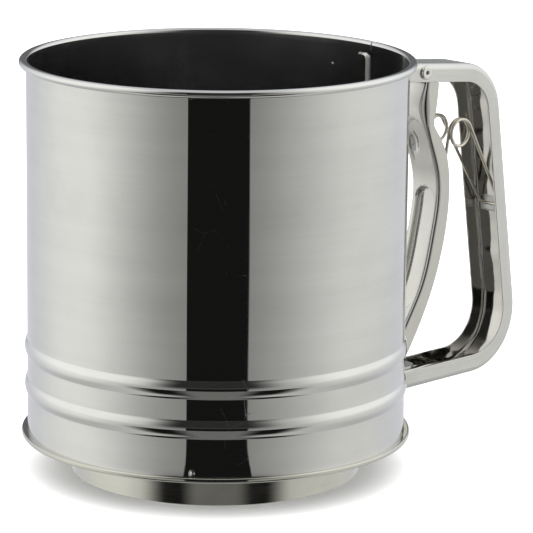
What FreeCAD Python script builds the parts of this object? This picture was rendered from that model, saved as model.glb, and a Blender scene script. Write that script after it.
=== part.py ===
import FreeCAD, Part
import math
import os

# Squeeze-handle flour sifter.
# Frame: origin on the cup's axis in the plane that the foot stands on, +Z up the
# cup's axis, +X from the cup's axis towards the handle. Millimetres throughout.

# ---------------------------------------------------------------- driving sizes
RIM_OD = 130.0            # outside of the rolled rim
RIM_TOP = 137.9           # height of the rim above the table
RIM_ROLL = 2.5            # diameter of the rolled rim
WALL_R = 62.6             # outside of the plain cup wall
SHEET = 0.5               # cup and base sheet
BEAD_HEIGHTS = (29.3, 42.2)   # middles of the two raised beads
BEAD_TALL = 5.4
BEAD_PROUD = 0.85

HEM_R = 64.5              # seamed edge that joins base and cup
HEM_BOTTOM = 12.2
HEM_TALL = 1.65
FOOT_R = 48.24            # foot collar, outside
FOOT_SHEET = 0.6
FOOT_HEM_TALL = 1.8       # folded lower edge of the foot collar

SEAM_FROM_DEG = -7.9      # inside fold of the wall's lock seam, beside the handle
SEAM_SPAN_DEG = 4.6
SEAM_THICK = 1.0
SEAM_TOP = 133.6

HANDLE_W = 15.34          # across the handle's flanges
HANDLE_DEEP = 6.5         # flange depth
HANDLE_SHEET = 0.7
HANDLE_CORNERS = ((61.0, 130.16), (127.64, 123.26), (143.2, 13.2), (61.0, 12.15))
HANDLE_RADII = (19.0, 21.5)
HANDLE_BEND = 1.6         # outer radius of the channel's two long bends

PIVOT = (90.7, 123.9)     # trigger pivot, x and z
PIVOT_SHANK_R = 1.5
LEVER_W = 13.2            # across the trigger's flanges
LEVER_SHEET = 0.6
LEVER_BEND = 1.4
LEVER_SWING_DEG = 12.0    # squeeze travel

WIRE_R = 0.6              # spring wire
COIL_R = 4.75             # mean radius of a coil
COIL_AT = (110.9, 100.3)  # coil axis, x and z
COIL_Y = (3.4, 6.4)       # each coil runs between these distances from the middle

SCREEN_Z = 8.6            # underside of the mesh
SCREEN_THICK = 0.6
CRANK_R = 30.0            # crank pin from the cup's axis
LINK_Z = 19.0             # underside of the link bar
LINK_THICK = 1.2
LINK_W = 6.0
TONGUE_X = 77.95          # middle of the trigger's tongue, where it takes the link
RUN = 0.06                # radial running clearance

# ---------------------------------------------------------------- worked-out sizes
INNER_R = WALL_R - SHEET
ROLL_R = RIM_ROLL / 2
ROLL_AT = (RIM_OD / 2 - ROLL_R, RIM_TOP - ROLL_R)
FOOT_IN = FOOT_R - FOOT_SHEET
WALL_CLEAR = WALL_R + 0.05
SCREEN_TOP = SCREEN_Z + SCREEN_THICK
HUB_BOTTOM = SCREEN_TOP + SCREEN_THICK + 0.15
HUB_TOP = 18.0
HUB_R = 4.0
BLADE_SHEET = 0.7
BLADE_Z = HUB_BOTTOM + 0.65
ARM_THICK = 0.8
ARM_Z = 17.0
LINK_TOP = LINK_Z + LINK_THICK


def tongue_travel():
    """Distance that the trigger's tongue carries the link over a full squeeze."""
    swing = math.radians(LEVER_SWING_DEG)
    across = TONGUE_X - PIVOT[0]
    down = PIVOT[1] - (LINK_Z + LINK_THICK / 2)
    return across * math.cos(swing) + down * math.sin(swing) - across


HALF_TURN = math.asin(tongue_travel() / 2 / CRANK_R)   # agitator swings this much either side
PIN_AT = (-CRANK_R * math.sin(HALF_TURN), CRANK_R * math.cos(HALF_TURN))
LINK_Y = -CRANK_R * (1 - math.cos(HALF_TURN)) / 2      # so that the bar drifts evenly about the middle


# ---------------------------------------------------------------- helpers
def at(x, z, y=0.0):
    return FreeCAD.Vector(x, y, z)


UP = FreeCAD.Vector(0, 0, 1)
ALONG_Y = FreeCAD.Vector(0, 1, 0)
ORIGIN = FreeCAD.Vector(0, 0, 0)


def line(a, b):
    return Part.LineSegment(at(*a), at(*b)).toShape()


def arc(a, b, c):
    return Part.Arc(at(*a), at(*b), at(*c)).toShape()


def polyline(points):
    return [line(a, b) for a, b in zip(points, points[1:])]


def curve(points):
    """Smooth curve through points given as (x, z)."""
    spline = Part.BSplineCurve()
    spline.interpolate([at(*p) for p in points])
    return spline.toShape()


def face(edges):
    return Part.Face(Part.Wire(Part.__sortEdges__(edges)))


def turned(edges, angle=360.0):
    """Solid of revolution about the cup's axis."""
    return face(edges).revolve(ORIGIN, UP, angle)


def slab(edges, half_width):
    """Outline in the XZ plane, made solid from -half_width to +half_width across Y."""
    flat = face(edges)
    flat.translate(FreeCAD.Vector(0, -half_width, 0))
    return flat.extrude(FreeCAD.Vector(0, 2 * half_width, 0))


def disc(radius, z0, z1, x=0.0, y=0.0):
    return Part.makeCylinder(radius, z1 - z0, FreeCAD.Vector(x, y, z0), UP)


def ring(r_in, r_out, z0, z1, x=0.0, y=0.0):
    return disc(r_out, z0, z1, x, y).cut(disc(r_in, z0, z1, x, y))


def sector(r_in, r_out, z0, z1, from_deg, to_deg):
    """Piece of a ring between two angles from +X."""
    wedge = Part.makeCylinder(r_out, z1 - z0, FreeCAD.Vector(0, 0, z0), UP, to_deg - from_deg)
    wedge.rotate(ORIGIN, UP, from_deg)
    return wedge.cut(disc(r_in, z0, z1))


def block(x0, x1, y0, y1, z0, z1):
    return Part.makeBox(x1 - x0, y1 - y0, z1 - z0, FreeCAD.Vector(x0, y0, z0))


def cross_pin(radius, y0, y1, x, z):
    return Part.makeCylinder(radius, y1 - y0, FreeCAD.Vector(x, y0, z), ALONG_Y)


def unit(a, b):
    """Unit step from a to b, in the XZ plane."""
    length = math.hypot(b[0] - a[0], b[1] - a[1])
    return (b[0] - a[0]) / length, (b[1] - a[1]) / length


def corner(before, here, after):
    """Steps towards both neighbours, step along the bisector, and half the angle between."""
    u = unit(here, before)
    v = unit(here, after)
    half = math.acos(u[0] * v[0] + u[1] * v[1]) / 2
    middle = unit((0, 0), (u[0] + v[0], u[1] + v[1]))
    return u, v, middle, half


def rounded_path(points, radii):
    """Straight runs between points, with a tangent arc of the given radius at each inner one."""
    edges = []
    start = points[0]
    for i, radius in enumerate(radii, 1):
        u, v, middle, half = corner(points[i - 1], points[i], points[i + 1])
        run = radius / math.tan(half)
        to_arc = radius / math.sin(half) - radius
        first = (points[i][0] + u[0] * run, points[i][1] + u[1] * run)
        top = (points[i][0] + middle[0] * to_arc, points[i][1] + middle[1] * to_arc)
        last = (points[i][0] + v[0] * run, points[i][1] + v[1] * run)
        edges.append(line(start, first))
        edges.append(arc(first, top, last))
        start = last
    edges.append(line(start, points[-1]))
    return edges


def shifted_corners(points, distance):
    """Corners of the path that runs the given distance inside a clockwise path."""
    first = unit(points[0], points[1])
    last = unit(points[-2], points[-1])
    out = [(points[0][0] + first[1] * distance, points[0][1] - first[0] * distance)]
    for i in range(1, len(points) - 1):
        u, v, middle, half = corner(points[i - 1], points[i], points[i + 1])
        step = distance / math.sin(half)
        out.append((points[i][0] + middle[0] * step, points[i][1] + middle[1] * step))
    out.append((points[-1][0] + last[1] * distance, points[-1][1] - last[0] * distance))
    return out


def long_edges(solid, outline, half_width):
    """Edges of a slab that run along an outline on either of its two sides."""
    wire = Part.Wire(outline)
    found = []
    for edge in solid.Edges:
        middle = edge.valueAt((edge.FirstParameter + edge.LastParameter) / 2)
        on_side = abs(abs(middle.y) - half_width) < 1e-4
        flat = Part.Vertex(FreeCAD.Vector(middle.x, 0, middle.z))
        if on_side and wire.distToShape(flat)[0] < 1e-3:
            found.append(edge)
    return found


# ---------------------------------------------------------------- cup and base
def wall_line(radius, z0, z1):
    """Wall surface of the given radius from z0 up to z1, stepping out over each bead."""
    edges = []
    z = z0
    for middle in BEAD_HEIGHTS:
        low = middle - BEAD_TALL / 2
        high = middle + BEAD_TALL / 2
        edges.append(line((radius, z), (radius, low)))
        edges.append(arc((radius, low), (radius + BEAD_PROUD, middle), (radius, high)))
        z = high
    edges.append(line((radius, z), (radius, z1)))
    return edges


def on_roll(radius, degrees):
    a = math.radians(degrees)
    return ROLL_AT[0] + radius * math.cos(a), ROLL_AT[1] + radius * math.sin(a)


def cup_body():
    """Rolled-rim cup wall with two beads, its lock seam, its bottom flange and the link's slot."""
    flange_r = HEM_R - SHEET - 0.05
    z0 = HEM_BOTTOM + SHEET + 0.05
    neck = RIM_TOP - 3.0
    thin = ROLL_R - SHEET
    edges = polyline([(WALL_R, z0 + SHEET), (flange_r, z0 + SHEET), (flange_r, z0), (INNER_R, z0)])
    edges += wall_line(INNER_R, z0, neck)
    edges.append(line((INNER_R, neck), on_roll(ROLL_R, 180)))
    edges.append(arc(on_roll(ROLL_R, 180), on_roll(ROLL_R, 45), on_roll(ROLL_R, -90)))
    edges.append(line(on_roll(ROLL_R, -90), on_roll(thin, -90)))
    edges.append(arc(on_roll(thin, -90), on_roll(thin, 45), on_roll(thin, 180)))
    edges.append(line(on_roll(thin, 180), (WALL_R, neck)))
    edges += wall_line(WALL_R, z0 + SHEET, neck)
    wall = turned(edges)

    folded = INNER_R - SEAM_THICK
    fold = wall_line(INNER_R, z0, SEAM_TOP) + wall_line(folded, z0, SEAM_TOP)
    fold += [line((folded, z0), (INNER_R, z0)), line((folded, SEAM_TOP), (INNER_R, SEAM_TOP))]
    seam = turned(fold, SEAM_SPAN_DEG)
    seam.rotate(ORIGIN, UP, SEAM_FROM_DEG)
    slot = block(WALL_R - 5, WALL_R + 5, -5.6, 5.6, LINK_Z - 1.4, LINK_TOP + 1.4)
    return wall.fuse(seam).cut(slot)


def base_ring():
    """Drawn base: the seamed outer edge, the flat floor ring and the foot collar."""
    top = HEM_BOTTOM + HEM_TALL
    floor_top = HEM_BOTTOM + SHEET
    lip_r = WALL_R + 0.08
    fold_in = FOOT_IN - FOOT_SHEET
    points = [
        (FOOT_R, 0), (FOOT_R, HEM_BOTTOM), (HEM_R, HEM_BOTTOM), (HEM_R, top), (lip_r, top),
        (lip_r, top - SHEET), (HEM_R - SHEET, top - SHEET), (HEM_R - SHEET, floor_top),
        (FOOT_IN, floor_top), (FOOT_IN, FOOT_HEM_TALL), (fold_in, FOOT_HEM_TALL), (fold_in, 0), (FOOT_R, 0),
    ]
    return turned(polyline(points))


# ---------------------------------------------------------------- mesh screen
def mesh_screen():
    """Woven mesh disc, as one thin plate with a hole for the centre rivet."""
    return ring(2.05, FOOT_IN - 0.75, SCREEN_Z, SCREEN_TOP)


def screen_rim():
    """Folded ring that binds the edge of the mesh."""
    outer = FOOT_IN - 0.05
    lip = FOOT_IN - 3.0
    z0 = SCREEN_Z - SCREEN_THICK
    z1 = SCREEN_TOP + SCREEN_THICK
    whole = ring(lip, outer, z0, z1)
    return whole.cut(ring(lip - 1, FOOT_IN - 0.7, SCREEN_Z, SCREEN_TOP))


def screen_hoop():
    """Hoop pressed into the foot collar under the mesh, standing on the collar's folded edge."""
    return ring(FOOT_IN - 0.7, FOOT_IN - 0.03, FOOT_HEM_TALL + 0.02, SCREEN_Z - SCREEN_THICK - 0.02)


def mesh_washer(z0):
    return ring(2.05, 6.0, z0, z0 + SCREEN_THICK)


def centre_rivet():
    """Rivet through the mesh that the agitator turns on, headed below and above."""
    below = disc(4.0, SCREEN_Z - SCREEN_THICK - 1.1, SCREEN_Z - SCREEN_THICK)
    shank = disc(2.0, SCREEN_Z - SCREEN_THICK, HUB_TOP + 0.1)
    head = disc(4.4, HUB_TOP + 0.1, HUB_TOP + 1.0)
    crown = head.makeFillet(0.5, [head.Edges[0]])
    return below.fuse([shank, crown])


# ---------------------------------------------------------------- agitator
def rotor_hub():
    """Flanged tube that turns on the centre rivet."""
    tube = ring(2.0 + RUN, HUB_R, HUB_BOTTOM, HUB_TOP)
    return tube.fuse(ring(2.0 + RUN, 6.0, HUB_BOTTOM, BLADE_Z))


def agitator_blade(z0, turn_deg):
    """Two-ended sheet blade with a scraping lip turned down along each leading edge."""
    reach = 45.8
    half = 4.5
    z1 = z0 + BLADE_SHEET
    strip = block(-reach, reach, -half, half, z0, z1)
    lip_top = z0 + BLADE_SHEET / 2
    lips = [block(13, reach, half - BLADE_SHEET, half, HUB_BOTTOM + 0.15, lip_top),
            block(-reach, -13, -half, BLADE_SHEET - half, HUB_BOTTOM + 0.15, lip_top)]
    boss = disc(9.0, z0, z1)
    blade = strip.fuse(lips + [boss]).common(disc(reach, 0, 30))
    blade = blade.cut(disc(HUB_R + 0.02, 0, 30))
    blade.rotate(ORIGIN, UP, turn_deg)
    return blade


def hub_spacer():
    return ring(HUB_R + 0.02, HUB_R + 1.4, BLADE_Z + 2 * BLADE_SHEET, ARM_Z)


def crank_arm():
    """Arm on top of the hub, out to the crank pin."""
    bar = block(0, CRANK_R, -4, 4, ARM_Z, ARM_Z + ARM_THICK)
    ends = [disc(7.0, ARM_Z, ARM_Z + ARM_THICK), disc(4.0, ARM_Z, ARM_Z + ARM_THICK, CRANK_R)]
    arm = bar.fuse(ends)
    arm = arm.cut(disc(HUB_R + 0.02, 0, 30)).cut(disc(1.6, 0, 30, CRANK_R))
    arm.rotate(ORIGIN, UP, 90 + math.degrees(HALF_TURN))
    return arm


def crank_rivet():
    """Rivet in the arm's end that the link bar turns on."""
    x, y = PIN_AT
    below = disc(2.9, ARM_Z - 0.8, ARM_Z, x, y)
    shank = disc(1.6, ARM_Z, LINK_TOP + 0.1, x, y)
    head = disc(2.9, LINK_TOP + 0.1, LINK_TOP + 1.0, x, y)
    return below.fuse([shank, head])


def crank_washer():
    x, y = PIN_AT
    return ring(1.62, 3.6, ARM_Z + ARM_THICK, LINK_Z - 0.05, x, y)


# ---------------------------------------------------------------- link
def link_bar():
    """Flat bar from the crank pin, through the wall's slot, to the trigger's tongue."""
    half = LINK_W / 2
    x, y = PIN_AT
    knee = (34.0, LINK_Y)
    eye_from = TONGUE_X - 7.0
    nose = TONGUE_X + 9.0
    eye_half = 5.0
    long_run = block(knee[0], nose, LINK_Y - half, LINK_Y + half, LINK_Z, LINK_TOP)
    slope = math.atan2(knee[1] - y, knee[0] - x)
    reach = math.hypot(knee[0] - x, knee[1] - y)
    leg = block(0, reach, -half, half, LINK_Z, LINK_TOP)
    leg.rotate(ORIGIN, UP, math.degrees(slope))
    leg.translate(FreeCAD.Vector(x, y, 0))
    joins = [disc(half, LINK_Z, LINK_TOP, *knee), disc(4.0, LINK_Z, LINK_TOP, x, y)]
    eye = block(eye_from, nose, LINK_Y - eye_half, LINK_Y + eye_half, LINK_Z, LINK_TOP)
    tips = [disc(eye_half, LINK_Z, LINK_TOP, nose, LINK_Y), disc(eye_half, LINK_Z, LINK_TOP, eye_from, LINK_Y)]
    bar = long_run.fuse([leg, eye] + joins + tips)
    window = block(TONGUE_X - 0.85, TONGUE_X + 0.9, LINK_Y - 3.3, LINK_Y + 3.3, 0, 30)
    return bar.cut(disc(1.6 + RUN, 0, 30, x, y)).cut(window)


def slot_guard():
    """Bridge inside the wall, over the seam, with a close window that the link slides in."""
    z0 = 14.6
    z1 = 24.6
    skin = sector(60.2, 60.8, z0, z1, -11.5, 10.5)
    legs = [sector(60.2, INNER_R - 0.04, z0, z1, -11.5, -10.9), sector(60.2, INNER_R - 0.04, z0, z1, 9.9, 10.5)]
    feet = [sector(61.46, INNER_R - 0.04, z0, z1, -15.5, -10.9), sector(61.46, INNER_R - 0.04, z0, z1, 9.9, 14.5)]
    window = block(55, 65, -4.5, 4.5, LINK_Z - 0.4, LINK_TOP + 0.4)
    return skin.fuse(legs + feet).cut(window)


# ---------------------------------------------------------------- handle
def ear(z0, z1, side):
    """Flange end turned out flat on the cup wall, where it is spot-welded."""
    a = math.degrees(math.asin((HANDLE_W / 2 - HANDLE_SHEET) / WALL_R))
    b = math.degrees(math.asin(12.4 / WALL_R))
    if side < 0:
        a, b = -b, -a
    return sector(WALL_CLEAR, WALL_CLEAR + HANDLE_SHEET, z0, z1, a, b)


def spring_tab():
    """Tongue lanced out of the grip's web, open upwards, that holds the spring's bridge."""
    root = (134.95, 68.2)
    tip = (132.4, 72.6)
    step = unit(root, tip)
    nx, nz = step[1] * HANDLE_SHEET / 2, -step[0] * HANDLE_SHEET / 2
    points = [
        (root[0] + nx, root[1] + nz), (tip[0] + nx, tip[1] + nz),
        (tip[0] - nx, tip[1] - nz), (root[0] - nx, root[1] - nz), (root[0] + nx, root[1] + nz),
    ]
    return slab(polyline(points), 3.5)


def handle():
    """Channel-section handle, open towards the cup, with four weld ears and the spring tab."""
    half = HANDLE_W / 2
    outer = rounded_path(HANDLE_CORNERS, HANDLE_RADII)
    free = shifted_corners(HANDLE_CORNERS, HANDLE_DEEP)
    free_edge = rounded_path(free, [r - HANDLE_DEEP for r in HANDLE_RADII])
    ends = [line(HANDLE_CORNERS[0], free[0]), line(free[-1], HANDLE_CORNERS[-1])]
    solid = slab(outer + free_edge + ends, half)
    solid = solid.makeFillet(HANDLE_BEND, long_edges(solid, outer, half))

    deep = HANDLE_DEEP + 2
    inside = shifted_corners(HANDLE_CORNERS, HANDLE_SHEET)
    beyond = shifted_corners(HANDLE_CORNERS, deep)
    inner = rounded_path(inside, [r - HANDLE_SHEET for r in HANDLE_RADII])
    far = rounded_path(beyond, [r - deep for r in HANDLE_RADII])
    caps = [line(inside[0], beyond[0]), line(beyond[-1], inside[-1])]
    core = slab(inner + far + caps, half - HANDLE_SHEET)
    core = core.makeFillet(HANDLE_BEND - HANDLE_SHEET, long_edges(core, inner, half - HANDLE_SHEET))
    channel = solid.cut(core)

    channel = channel.cut(disc(WALL_CLEAR, 0, 140)).cut(disc(HEM_R + 0.1, 0, HEM_BOTTOM + HEM_TALL + 0.1))
    ears = [ear(z0, z1, side) for z0, z1 in ((124.2, 129.6), (14.0, 18.2)) for side in (-1, 1)]
    channel = channel.fuse(ears)
    channel = channel.cut(cross_pin(PIVOT_SHANK_R + 0.02, -10, 10, *PIVOT))
    channel = channel.cut(block(133.0, 137.0, -5.1, 5.1, 68.3, 74.2))
    return channel.fuse(spring_tab())


# ---------------------------------------------------------------- trigger
def lever_web(offset):
    """Cup side of the trigger, moved towards the handle by offset."""
    points = [(93.1, 120.6), (91.9, 111.0), (94.7, 99.5), (99.6, 83.5), (97.4, 66.0), (92.0, 48.0),
              (83.0, 33.0), (77.6, 22.6)]
    steps = [unit(points[max(i - 1, 0)], points[min(i + 1, len(points) - 1)]) for i in range(len(points))]
    return [(p[0] - s[1] * offset, p[1] + s[0] * offset) for p, s in zip(points, steps)]


LEVER_FREE = [(96.9, 104.2), (102.9, 95.0), (105.2, 83.0), (104.0, 68.0), (98.5, 49.0), (89.4, 31.2), (82.9, 21.4)]
LEVER_NECK = [(99.0, 121.5), (97.9, 111.5), (96.5, 105.4)]


def trigger_lever():
    """Channel-section trigger with lugs on the pivot and a tongue that takes the link bar."""
    half = LEVER_W / 2
    px, pz = PIVOT
    lug = 2.05
    web = lever_web(0)
    outer = [curve(web)]
    outline = outer + [curve(LEVER_FREE), curve(LEVER_NECK)]
    outline += [line(LEVER_NECK[-1], LEVER_FREE[0]), line(web[-1], LEVER_FREE[-1])]
    lug_low = (px - lug * math.cos(0.9), pz - lug * math.sin(0.9))
    lug_high = (px + lug * math.sin(0.4), pz + lug * math.cos(0.4))
    outline += [line(web[0], lug_low), arc(lug_low, (px - lug * 0.8, pz + lug * 0.6), lug_high)]
    outline.append(line(lug_high, LEVER_NECK[0]))
    solid = slab(outline, half)
    solid = solid.makeFillet(LEVER_BEND, long_edges(solid, outer, half))

    inside = lever_web(LEVER_SHEET)
    inside = [(inside[0][0], 128.0)] + inside + [(78.2, 20.0)]
    far = [(110.0, 128.0), (110.0, 20.0)]
    room = [curve(inside), line(inside[0], far[0]), line(far[0], far[1]), line(far[1], inside[-1])]
    above_web = block(80, 95, -half + LEVER_SHEET, half - LEVER_SHEET, 120.9, 130)
    channel = solid.cut(slab(room, half - LEVER_SHEET)).cut(above_web)
    tongue = block(TONGUE_X - 0.35, TONGUE_X + 0.35, -2.0, 2.0, 16.8, 24.0)
    channel = channel.fuse(tongue)
    return channel.cut(cross_pin(PIVOT_SHANK_R + RUN, -10, 10, px, pz))


def pivot_bush():
    """Tube between the trigger's lugs that keeps them apart on the pivot rivet."""
    half = LEVER_W / 2 - LEVER_SHEET - 0.02
    return cross_pin(2.15, -half, half, *PIVOT).cut(cross_pin(PIVOT_SHANK_R + RUN, -10, 10, *PIVOT))


def pivot_rivet():
    """Tubular rivet across the handle's flanges, headed on both sides."""
    side = HANDLE_W / 2
    shank = cross_pin(PIVOT_SHANK_R, -side, side, *PIVOT)
    head = cross_pin(2.65, -side - 1.1, -side, *PIVOT)
    head = head.makeFillet(0.4, [e for e in head.Edges if abs(e.BoundBox.YMin + side + 1.1) < 1e-6
                                 and abs(e.BoundBox.YMax + side + 1.1) < 1e-6])
    rolled = cross_pin(2.3, side, side + 0.8, *PIVOT)
    return shank.fuse([head, rolled]).cut(cross_pin(0.65, -20, 20, *PIVOT))


# ---------------------------------------------------------------- spring
def rod(a, b):
    step = b - a
    return Part.makeCylinder(WIRE_R, step.Length, a, step)


def coil(side):
    """One coil about a cross-wise axis, from the trigger leg's side out to the handle leg's side."""
    start_deg, end_deg = 184.0, 30.5 - 720.0
    turns = (start_deg - end_deg) / 360.0
    pitch = (COIL_Y[1] - COIL_Y[0]) / turns
    helix = Part.makeHelix(pitch, COIL_Y[1] - COIL_Y[0], COIL_R)
    section = Part.Wire(Part.makeCircle(WIRE_R, FreeCAD.Vector(COIL_R, 0, 0), ALONG_Y))
    solid = Part.Wire(helix).makePipeShell([section], True, True)
    # helix axis Z to +Y: the turn then runs clockwise as seen from -Y
    solid.rotate(ORIGIN, FreeCAD.Vector(1, 0, 0), -90)
    if side < 0:
        solid = solid.mirror(ORIGIN, ALONG_Y)
    solid.rotate(ORIGIN, ALONG_Y, -start_deg)
    solid.translate(FreeCAD.Vector(COIL_AT[0], side * COIL_Y[0], COIL_AT[1]))
    return solid


def on_coil(degrees, y):
    a = math.radians(degrees)
    return at(COIL_AT[0] + COIL_R * math.cos(a), COIL_AT[1] + COIL_R * math.sin(a), y)


def torsion_spring():
    """Double torsion spring: two coils, two legs in the trigger, two legs joined under the tab."""
    bridge_end = at(134.8, 70.9, 3.3)
    shapes = []
    for side in (-1, 1):
        trigger_start = on_coil(184.0, side * COIL_Y[0])
        knee = at(105.0, 93.3, side * COIL_Y[0])
        tip = at(101.35, 83.5, side * COIL_Y[0])
        handle_start = on_coil(30.5, side * COIL_Y[1])
        handle_end = at(133.5, 71.6, side * 4.8)
        corner_point = FreeCAD.Vector(bridge_end.x, side * bridge_end.y, bridge_end.z)
        path = [tip, knee, trigger_start]
        shapes += [rod(a, b) for a, b in zip(path, path[1:])]
        shapes += [rod(handle_start, handle_end), rod(handle_end, corner_point)]
        shapes += [Part.makeSphere(WIRE_R, p) for p in (knee, trigger_start, handle_start, handle_end, corner_point)]
        shapes.append(coil(side))
    far = FreeCAD.Vector(bridge_end.x, -bridge_end.y, bridge_end.z)
    return rod(far, bridge_end).fuse(shapes)


# ---------------------------------------------------------------- write
PARTS = {
    "cup_body": cup_body(),
    "base_ring": base_ring(),
    "mesh_screen": mesh_screen(),
    "screen_rim": screen_rim(),
    "screen_hoop": screen_hoop(),
    "mesh_washer_upper": mesh_washer(SCREEN_TOP),
    "mesh_washer_lower": mesh_washer(SCREEN_Z - SCREEN_THICK),
    "centre_rivet": centre_rivet(),
    "rotor_hub": rotor_hub(),
    "agitator_blade_lower": agitator_blade(BLADE_Z, 20.0),
    "agitator_blade_upper": agitator_blade(BLADE_Z + BLADE_SHEET, 110.0),
    "hub_spacer": hub_spacer(),
    "crank_arm": crank_arm(),
    "crank_rivet": crank_rivet(),
    "crank_washer": crank_washer(),
    "link_bar": link_bar(),
    "slot_guard": slot_guard(),
    "handle": handle(),
    "trigger_lever": trigger_lever(),
    "pivot_bush": pivot_bush(),
    "pivot_rivet": pivot_rivet(),
    "torsion_spring": torsion_spring(),
}

os.makedirs("parts", exist_ok=True)
for name, shape in PARTS.items():
    box = shape.BoundBox
    print(f"{name:22s} valid={shape.isValid()} solids={len(shape.Solids)} volume={shape.Volume:9.1f}"
          f" x {box.XMin:.1f}..{box.XMax:.1f} y {box.YMin:.1f}..{box.YMax:.1f} z {box.ZMin:.1f}..{box.ZMax:.1f}")
    shape.exportStep(f"parts/{name}.step")
print(f"link travel {tongue_travel():.3f} mm, agitator swing {2 * math.degrees(HALF_TURN):.3f} deg,"
      f" crank pin at {PIN_AT[0]:.3f}, {PIN_AT[1]:.3f}")
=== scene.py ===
"""Squeeze-handle flour sifter: the detailed visual model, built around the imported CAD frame.

Every length in the classes below is in millimetres; `MM` turns it into the scene's metres. The frame is
the CAD's own: +Z up the cup's axis, +X from the axis towards the handle, origin on the table.
"""

import sys
import enum
import logging
import math
from collections.abc import Callable
from dataclasses import dataclass, field

import bmesh
import bpy
import numpy as np
from mathutils import Matrix, Vector


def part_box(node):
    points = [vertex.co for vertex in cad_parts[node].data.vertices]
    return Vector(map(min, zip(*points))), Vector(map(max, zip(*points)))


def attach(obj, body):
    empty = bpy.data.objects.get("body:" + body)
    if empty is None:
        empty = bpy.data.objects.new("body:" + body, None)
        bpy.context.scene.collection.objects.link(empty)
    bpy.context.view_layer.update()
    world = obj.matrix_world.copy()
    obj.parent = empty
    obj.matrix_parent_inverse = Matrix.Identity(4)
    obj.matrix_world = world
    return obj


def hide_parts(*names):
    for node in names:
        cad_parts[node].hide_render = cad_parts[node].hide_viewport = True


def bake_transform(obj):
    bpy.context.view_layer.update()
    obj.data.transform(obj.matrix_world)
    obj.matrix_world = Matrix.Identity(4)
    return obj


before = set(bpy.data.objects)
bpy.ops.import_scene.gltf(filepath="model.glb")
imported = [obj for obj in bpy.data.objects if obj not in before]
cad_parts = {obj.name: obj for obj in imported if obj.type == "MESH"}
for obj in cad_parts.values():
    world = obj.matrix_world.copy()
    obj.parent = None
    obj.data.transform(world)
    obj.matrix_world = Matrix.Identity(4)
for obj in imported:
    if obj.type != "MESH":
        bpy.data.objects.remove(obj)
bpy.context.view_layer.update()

MM = 0.001
FULL_TURN = 2 * math.pi
log = logging.getLogger("sifter")
Chooser = Callable[[np.ndarray, np.ndarray], np.ndarray]


# ------------------------------------------------------------------ curves and outlines
def unit(vectors: np.ndarray) -> np.ndarray:
    """Vectors divided by their length, along the last axis."""
    length = np.linalg.norm(vectors, axis=-1, keepdims=True)
    return vectors / np.maximum(length, 1e-12)


def without_repeats(points: np.ndarray) -> np.ndarray:
    """Points with each one that lies on the point before it taken out."""
    step = np.linalg.norm(np.diff(points, axis=0), axis=1)
    return points[np.r_[True, step > 1e-7]]


def fillet(corners: np.ndarray, radii: np.ndarray, steps: int = 4, hold: float = 0.12,
           closed: bool = True) -> np.ndarray:
    """Outline with its corners rounded by tangent arcs.

    With half the angle between the two runs at a corner called h, the arc of radius r starts and ends
    r / tan(h) along the runs and has its centre r / sin(h) along their bisector. A holding point stands
    just outside both ends of each arc, so that the flats beside it stay flat when they are shaded smooth.

    Args:
        corners: corner points, one row each.
        radii: arc radius at each corner; 0 keeps the corner as it is.
        steps: straight pieces in each arc.
        hold: distance of the holding points from the arc.
        closed: whether the last corner joins the first.

    Returns:
        The outline's points.
    """
    corners = np.asarray(corners, float)
    radii = np.asarray(radii, float).copy()
    if not closed:
        radii[[0, -1]] = 0.0
    to_before = unit(np.roll(corners, 1, 0) - corners)
    to_after = unit(np.roll(corners, -1, 0) - corners)
    half = np.arccos(np.clip((to_before * to_after).sum(1), -1, 1)) / 2
    bent = (radii > 0) & (half < math.pi / 2 - 1e-4)
    radius = np.where(bent, radii, 0.0)[:, None]
    half = np.where(bent, half, 1.0)[:, None]
    start = corners + to_before * radius / np.tan(half)
    end = corners + to_after * radius / np.tan(half)
    centre = corners + unit(to_before + to_after) * radius / np.sin(half)
    sweep = math.pi - 2 * half
    share = np.linspace(0, 1, steps + 1)[None, :]
    first = (np.sin((1 - share) * sweep) / np.sin(sweep))[..., None]
    last = (np.sin(share * sweep) / np.sin(sweep))[..., None]
    arcs = centre[:, None] + first * (start - centre)[:, None] + last * (end - centre)[:, None]
    arcs = np.where(bent[:, None, None], arcs, corners[:, None])
    guard = np.where(bent, hold, 0.0)[:, None]
    rows = np.concatenate([(start + to_before * guard)[:, None], arcs, (end + to_after * guard)[:, None]], 1)
    return without_repeats(rows.reshape(-1, corners.shape[1]))


def arc_points(centre: tuple[float, float], radius: float, degrees: np.ndarray) -> np.ndarray:
    """Points on a circle at the given angles."""
    angle = np.radians(degrees)
    return np.stack([centre[0] + radius * np.cos(angle), centre[1] + radius * np.sin(angle)], 1)


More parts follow.
